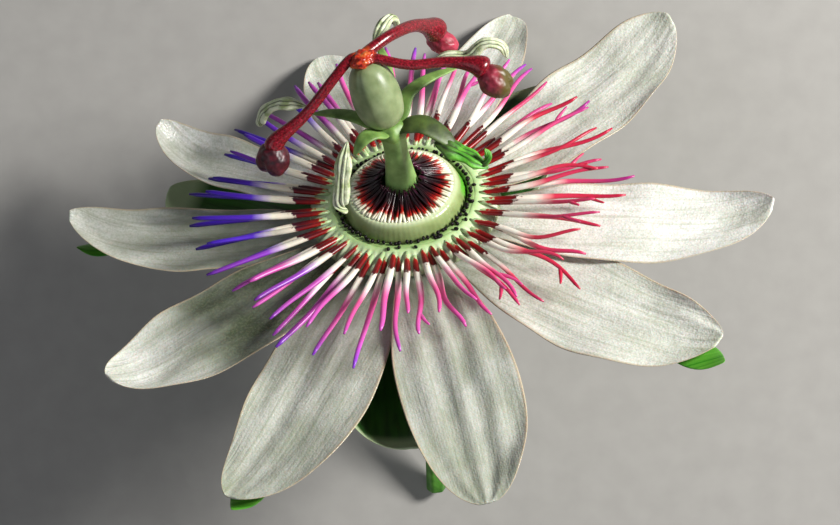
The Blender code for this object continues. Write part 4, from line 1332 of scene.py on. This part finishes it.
split = add(tree, "ValToRGB", {"Fac": around}, stops=[
    (0.09, 0.0), (0.12, 0.9), (0.15, 0.0), (0.22, 0.0), (0.25, 1.0), (0.28, 0.0), (0.35, 0.0), (0.38, 0.9),
    (0.41, 0.0), (0.69, 0.0), (0.75, 0.8), (0.81, 0.0)])
split = add(tree, "Math", {0: split, 1: 0.92}, operation="MULTIPLY")
tone = add(tree, "Mix", {0: split, 6: tone, 7: "#222a12"}, data_type="RGBA")
# painted shade: dark olive over the half of the first anther that lies under its stalk
shadow = add(tree, "Attribute", attribute_name="olive_and_painted_shade")
tone = add(tree, "Mix", {0: shadow, 6: tone, 7: "#333c1c"}, data_type="RGBA")
bumps = add(tree, "Bump", {"Height": grain, "Strength": 0.4, "Distance": 0.05 * MM})
coat(shader, tone, bumps)
print("anther finish ready")

# %% [markdown]
# Each stamen has its own two routes, one for the stalk and one for the anther. Where the anther hangs, it
# covers the end of its stalk.

# %% Bend the stalks and the anthers
for number, (arch, hang) in STAMENS.items():
    first = number == "1"
    stalk_broad, anther_broad = BROAD[number]
    bent = bend(stalk_corners, smooth_route(arch, 15), STALK_WIDE * stalk_broad, STALK_THICK)
    stamen = many("stamen_" + number, stalk, [bent])
    smooth_over(stamen)
    # the first stalk takes the flesh with painted shade
    stamen.data.materials.append(stamen_painted_shade if first else stamen_green)
    lay(stamen, "stamen_green", "stamen_" + number)
    swollen = lumpy(pouch_corners, 3.0 * int(number))
    sacs = [bend(swollen, smooth_route(hang, 15), ANTHER_WIDE * anther_broad, ANTHER_THICK)]
    if first:
        sacs.append(bend(pouch_corners, smooth_route(ANTHER_LOBE, 15), 0.55, 0.4))
    anther = many("anther_" + number, pouch, sacs)
    along = np.tile(pouch_corners[:, 2], len(sacs))
    mark(anther.data, "green", np.full(len(along), 1.0 if first else 0.0))
    # painted shade on the first anther: strongest at its start under the stalk, none past its middle
    mark(anther.data, "olive_and_painted_shade", np.clip((0.5 - along) * 4, 0, 0.85) * first)
    smooth_over(anther)
    anther.data.materials.append(anther_skin)
    lay(anther, "anther_cream", "anther_" + number)
put_away(stalk)
put_away(pouch)

# %% [markdown]
# ## Styles
# Three red styles rise from an orange knot on top of the ovary and arch out like spokes. Each is a rod that
# widens into its stigma at the far end.

# %% Routes of the styles
# each row: the route of the style, then the middle, the direction and the half sizes of its stigma
STYLES = {
    "1": (((-2.3, 3.2, 22.1), (-3.6, 3.0, 22.3), (-6.2, 1.4, 20.8), (-10.2, -0.4, 17.6), (-14.3, -1.5, 15.2),
           (-15.2, -2.0, 13.8)),
          (-15.3, -2.2, 12.7), (-0.3, -0.3, -1.0), (2.2, 2.0, 2.25)),
    "2": (((-1.8, 3.4, 22.2), (-0.7, 4.2, 22.4), (2.0, 6.3, 22.2), (5.0, 9.7, 20.1), (7.2, 12.2, 17.0),
           (8.0, 12.8, 15.4)),
          (8.3, 13.2, 13.4), (0.6, 0.4, -1.0), (2.4, 1.7, 2.0)),
    "3": (((-1.8, 2.9, 22.1), (-0.2, 2.5, 22.0), (3.6, 1.7, 20.8), (8.0, 1.9, 20.1), (11.6, 1.1, 19.5),
           (13.0, 0.6, 18.6)),
          (13.8, -0.1, 17.2), (1.0, -0.4, -0.9), (2.1, 1.85, 2.5)),
}
STYLE_HALF = 0.7
# how much each style widens into its stigma
FLARE = {"1": 0.12, "2": 0.35, "3": 0.45}
spoke = straight_rod("spoke", 14, (0.95, 1.0, 1.0, 0.98, 0.96, 0.95, 0.95, 0.96, 0.97, 1.0, 1.0, 1.04, 1.12,
                                   1.28, 1.5, 1.7, 1.75, 1.5, 0.8))
spoke_corners = places(spoke.data)
print("styles to bend:", len(STYLES))

# %% [markdown]
# ## Skin of the styles
# A style is crimson flesh, speckled darker and paler at about a quarter of a millimetre, and orange at its
# foot. Soft dents break up the long line of light on it.

# %% Finish for the styles
# smooth moist flesh with a clear shine along its back
style_skin, tree, shader = new_material("style_red_speckled_flesh", roughness=0.27, subsurface_weight=0.06,
                                        subsurface_scale=0.5 * MM)
place = add(tree, "TexCoord")
along = add(tree, "Attribute", attribute_name="along")
specks = add(tree, "TexNoise", {"Vector": place, "Scale": 4.2 / MM, "Detail": 2.0})
blush = add(tree, "TexNoise", {"Vector": place, "Scale": 0.42 / MM, "Detail": 2.0})
tone = add(tree, "ValToRGB", {"Fac": specks}, stops=[
    (0.30, "#44060e"), (0.5, "#6e0a18"), (0.66, "#8c1424"), (0.80, "#b0405a")])
root = add(tree, "ValToRGB", {"Fac": along}, stops=[(0.0, 0.9), (0.07, 0.6), (0.18, 0.0)])
tone = add(tree, "Mix", {0: root, 6: tone, 7: "#d8641e"}, data_type="RGBA")
bumps = add(tree, "Bump", {"Height": specks, "Strength": 0.35, "Distance": 0.05 * MM})
bumps = add(tree, "Bump", {"Height": blush, "Strength": 0.4, "Distance": 0.3 * MM, "Normal": bumps})
coat(shader, tone, bumps)
print("style finish ready")

# %% [markdown]
# ## Stigmas
# Each style ends in a stigma, a heavy two-lobed knob with a rough, sticky skin. A stigma starts as an
# icosphere that is pinched along a cleft and roughened with noise, since sculpting by hand could not be
# repeated for all three. Its warts are smooth cells of 0.4 mm, in a raised pattern. One stigma is pinker
# than the others, and the far end of another is olive.

# %% Finish for the stigmas
# sticky rather than wet: the lights on it are soft and broken
stigma_skin, tree, shader = new_material("stigma_sticky_skin", roughness=0.42)
place = add(tree, "TexCoord")
far_end = add(tree, "Attribute", attribute_name="far_end")
kind = add(tree, "Attribute", attribute_name="kind")
warts = add(tree, "TexVoronoi", {"Vector": place, "Scale": 2.4 / MM}, feature="SMOOTH_F1")
blush = add(tree, "TexNoise", {"Vector": place, "Scale": 1.1 / MM, "Detail": 3.0})
maroon_tone = add(tree, "ValToRGB", {"Fac": blush}, stops=[(0.35, "#2a0712"), (0.7, "#5a1020")])
pink_tone = add(tree, "ValToRGB", {"Fac": blush}, stops=[(0.35, "#7c1020"), (0.68, "#c04058")])
tone = add(tree, "Mix", {0: kind, 6: maroon_tone, 7: pink_tone}, data_type="RGBA")
tone = add(tree, "Mix", {0: far_end, 6: tone, 7: "#54491c"}, data_type="RGBA")
bumps = add(tree, "Bump", {"Height": warts, "Strength": 0.4, "Distance": 0.06 * MM})
coat(shader, tone, bumps)
print("stigma finish ready")

# %% [markdown]
# Each style is bent on its route, and its stigma is stood on the end of it, tipped as on the flower.

# %% Bend the styles and set the stigmas
for number, (line, middle, along, half_sizes) in STYLES.items():
    half = STYLE_HALF * (1.15 if number == "2" else 1.0)
    flare = 1 + FLARE[number] * np.clip((spoke_corners[:, 2:] - 0.72) * 4, 0, 1)
    bent = bend(spoke_corners, smooth_route(line, 18), half * flare, half * flare)
    style = many("style_" + number, spoke, [bent])
    smooth_over(style)
    style.data.materials.append(style_skin)
    lay(style, "style_red", "style_" + number)
    bpy.ops.object.select_all(action="DESELECT")
    bpy.ops.mesh.primitive_ico_sphere_add(subdivisions=5, radius=1, location=(0, 0, 0))
    knob = bpy.context.object
    knob.name = knob.data.name = "stigma_" + number
    co = places(knob.data)
    cleft = np.exp(-((co[:, 0] / 0.26) ** 2)) * np.clip(co[:, 2] + 0.6, 0, 1.4)
    lumps = np.array([noise.noise(Vector(c) * 2.3 + Vector((0, 0, int(number)))) for c in co])
    warts = np.array([noise.noise(Vector(c) * 6.5 + Vector((int(number), 0, 0))) for c in co])
    shaped = co * (1 - 0.20 * cleft + 0.07 * lumps + 0.02 * warts)[:, None] * np.array(half_sizes)
    mark(knob.data, "far_end", np.clip((co[:, 2] + 0.5 * co[:, 0] + 0.45) * 1.8, 0, 1) * (number == "3"))
    mark(knob.data, "kind", np.full(len(co), {"1": 0.0, "2": 0.9, "3": 0.45}[number]))
    move_to(knob.data, shaped * MM)
    stand(knob, middle, along)
    knob.data.materials.append(stigma_skin)
    lay(knob, "stigma_maroon", "stigma_" + number)
put_away(spoke)

# %% [markdown]
# ## Knot on top of the ovary
# The three styles grow from one lumpy orange knot. It is an icosphere, flattened and swollen by noise, and it
# is stood on the line of the ovary. Its colour runs from maroon in the dents to orange on the bumps.

# %% Model and finish the knot
bpy.ops.object.select_all(action="DESELECT")
bpy.ops.mesh.primitive_ico_sphere_add(subdivisions=5, radius=1, location=(0, 0, 0))
knot = bpy.context.object
knot.name = knot.data.name = "style_junction"
co = places(knot.data)
lumps = np.array([noise.noise(Vector(c) * 2.2) for c in co])
wrinkles = np.array([noise.noise(Vector(c) * 5.0 + Vector((3, 0, 0))) for c in co])
move_to(knot.data, co * (1 + 0.18 * lumps + 0.07 * wrinkles)[:, None] * np.array((1.8, 1.6, 1.1)) * MM)
stand(knot, OVARY_TOP + ovary_line.normalized() * 0.55, ovary_line)
# moist flesh, with a lively shine on its bumps
knot_skin, tree, shader = new_material("junction_orange_flesh", roughness=0.32)
blush = add(tree, "TexNoise", {"Vector": add(tree, "TexCoord"), "Scale": 1.2 / MM, "Detail": 4.0})
tone = add(tree, "ValToRGB", {"Fac": blush}, stops=[(0.38, "#7a1210"), (0.54, "#b83018"), (0.76, "#de8038")])
bumps = add(tree, "Bump", {"Height": blush, "Strength": 0.4, "Distance": 0.08 * MM})
coat(shader, tone, bumps)
knot.data.materials.append(knot_skin)
lay(knot, "junction_orange", "style_junction")

# %% [markdown]
# ## Receptacle
# Behind the tepals, the flower widens into a shallow green cup, the receptacle, with five soft lobes and fine
# ribs. It is turned, and the lobes are pushed out in mesh code.

# %% Turn the receptacle
receptacle = ring_by_ring("receptacle", [
    (1.5, -9.6), (2.2, -9.5), (4.2, -9.0), (6.4, -8.2), (8.2, -7.3), (9.7, -6.3), (10.5, -5.6), (10.6, -5.25),
    (9.6, -5.2), (8.9, -5.1), (8.85, -3.2), (8.9, -1.25), (8.0, -1.2), (2.0, -1.2)], 120)
smooth_over(receptacle)
co, radius, azimuth = turned_marks(receptacle)
outer = np.clip((-co[:, 2] - 4.8) / 2, 0, 1) * np.clip(radius / 5, 0, 1)
co[:, :2] *= (1 + outer * (0.022 * np.cos(5 * azimuth) + 0.008 * np.cos(30 * azimuth)))[:, None]
move_to(receptacle.data, co * MM)
receptacle.data.materials.append(green_flesh("receptacle_green_flesh", "#5f8a34", "#93b85e", 2.0, 0.38, 0.2))
lay(receptacle, "receptacle_green", "receptacle")

# %% [markdown]
# ## Stem
# The stem runs from the receptacle to the cut and bends down a little on the way. It is a rod with six faint
# edges, like the stem of most climbers.

# %% Bend the stem
STEM_END = (-2.6, -4.6, -51.15)
STEM_ROUTE, STEM_HALF = ((0, 0, -9.3), (0.2, 0.2, -19.0), (-0.4, -0.6, -32.0), STEM_END), 1.25
rod = straight_rod("stem_rod", 24, (1.25, 1.05, *[1.0] * 28, 1.02))
rod_corners = places(rod.data)
angle = np.arctan2(rod_corners[:, 1], rod_corners[:, 0])
rod_corners[:, :2] *= (1 + 0.05 * np.cos(6 * angle))[:, None]
bent = bend(rod_corners, smooth_route(STEM_ROUTE, 30), STEM_HALF, STEM_HALF, (0, 1, 0))
stem = many("stem", rod, [bent])
put_away(rod)
print("stem:", len(stem.data.polygons), "faces")

# %% [markdown]
# ## Cut end
# The cut shows a paler core inside a dark skin. The end face is inset three times and pressed in a little, so
# skin, rind and core each have their own ring, and the sharp edges are bevelled to catch light.

# %% Inset the cut end
CORE_RADIUS = 0.9
only(stem)
bpy.ops.object.mode_set(mode="EDIT")
bpy.ops.mesh.select_mode(type="FACE")
shape = bmesh.from_edit_mesh(stem.data)
for face in shape.faces:
    face.select_set(len(face.verts) > 4 and face.calc_center_median().z < -40 * MM)
bmesh.update_edit_mesh(stem.data)
bpy.ops.mesh.inset(thickness=0.22 * MM)
bpy.ops.mesh.inset(thickness=0.10 * MM)
bpy.ops.transform.translate(value=(0.02 * MM, 0.04 * MM, 0.18 * MM))
bpy.ops.mesh.inset(thickness=0.55 * MM)
bpy.ops.transform.translate(value=(0, 0, -0.06 * MM))
bpy.ops.mesh.select_mode(type="VERT")
bpy.ops.object.mode_set(mode="OBJECT")
end_place = Vector(STEM_END) * MM
core = [f.index for f in stem.data.polygons
        if (f.center - end_place).length < CORE_RADIUS * MM and f.normal.z < -0.5]
stem.data.materials.append(green_flesh("stem_green_skin", "#2c6412", "#5c9a34", 1.4, 0.36, 0.12))
stem.data.materials.append(green_flesh("stem_cut_core", "#b9c58a", "#dfe3bd", 0.6, 0.55, 0.1))
for index in core:
    stem.data.polygons[index].material_index = 1
modify(stem, "BEVEL", width=0.06 * MM, segments=2, limit_method="ANGLE", angle_limit=math.radians(50))
lay(stem, "stem_green", "stem")
print("cut end:", len(core), "faces of core")

# %% [markdown]
# ## Size of the finished flower
# The finished flower has to fill the same box as the frame. Both boxes are printed.

# %% Print the two boxes
low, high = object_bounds()
sizes = {"cad": [list(cad_low), list(cad_high)], "visual": [list(low), list(high)]}
print("CAD box:", [[round(c / MM, 1) for c in corner] for corner in sizes["cad"]])
print("visual box:", [[round(c / MM, 1) for c in corner] for corner in sizes["visual"]])
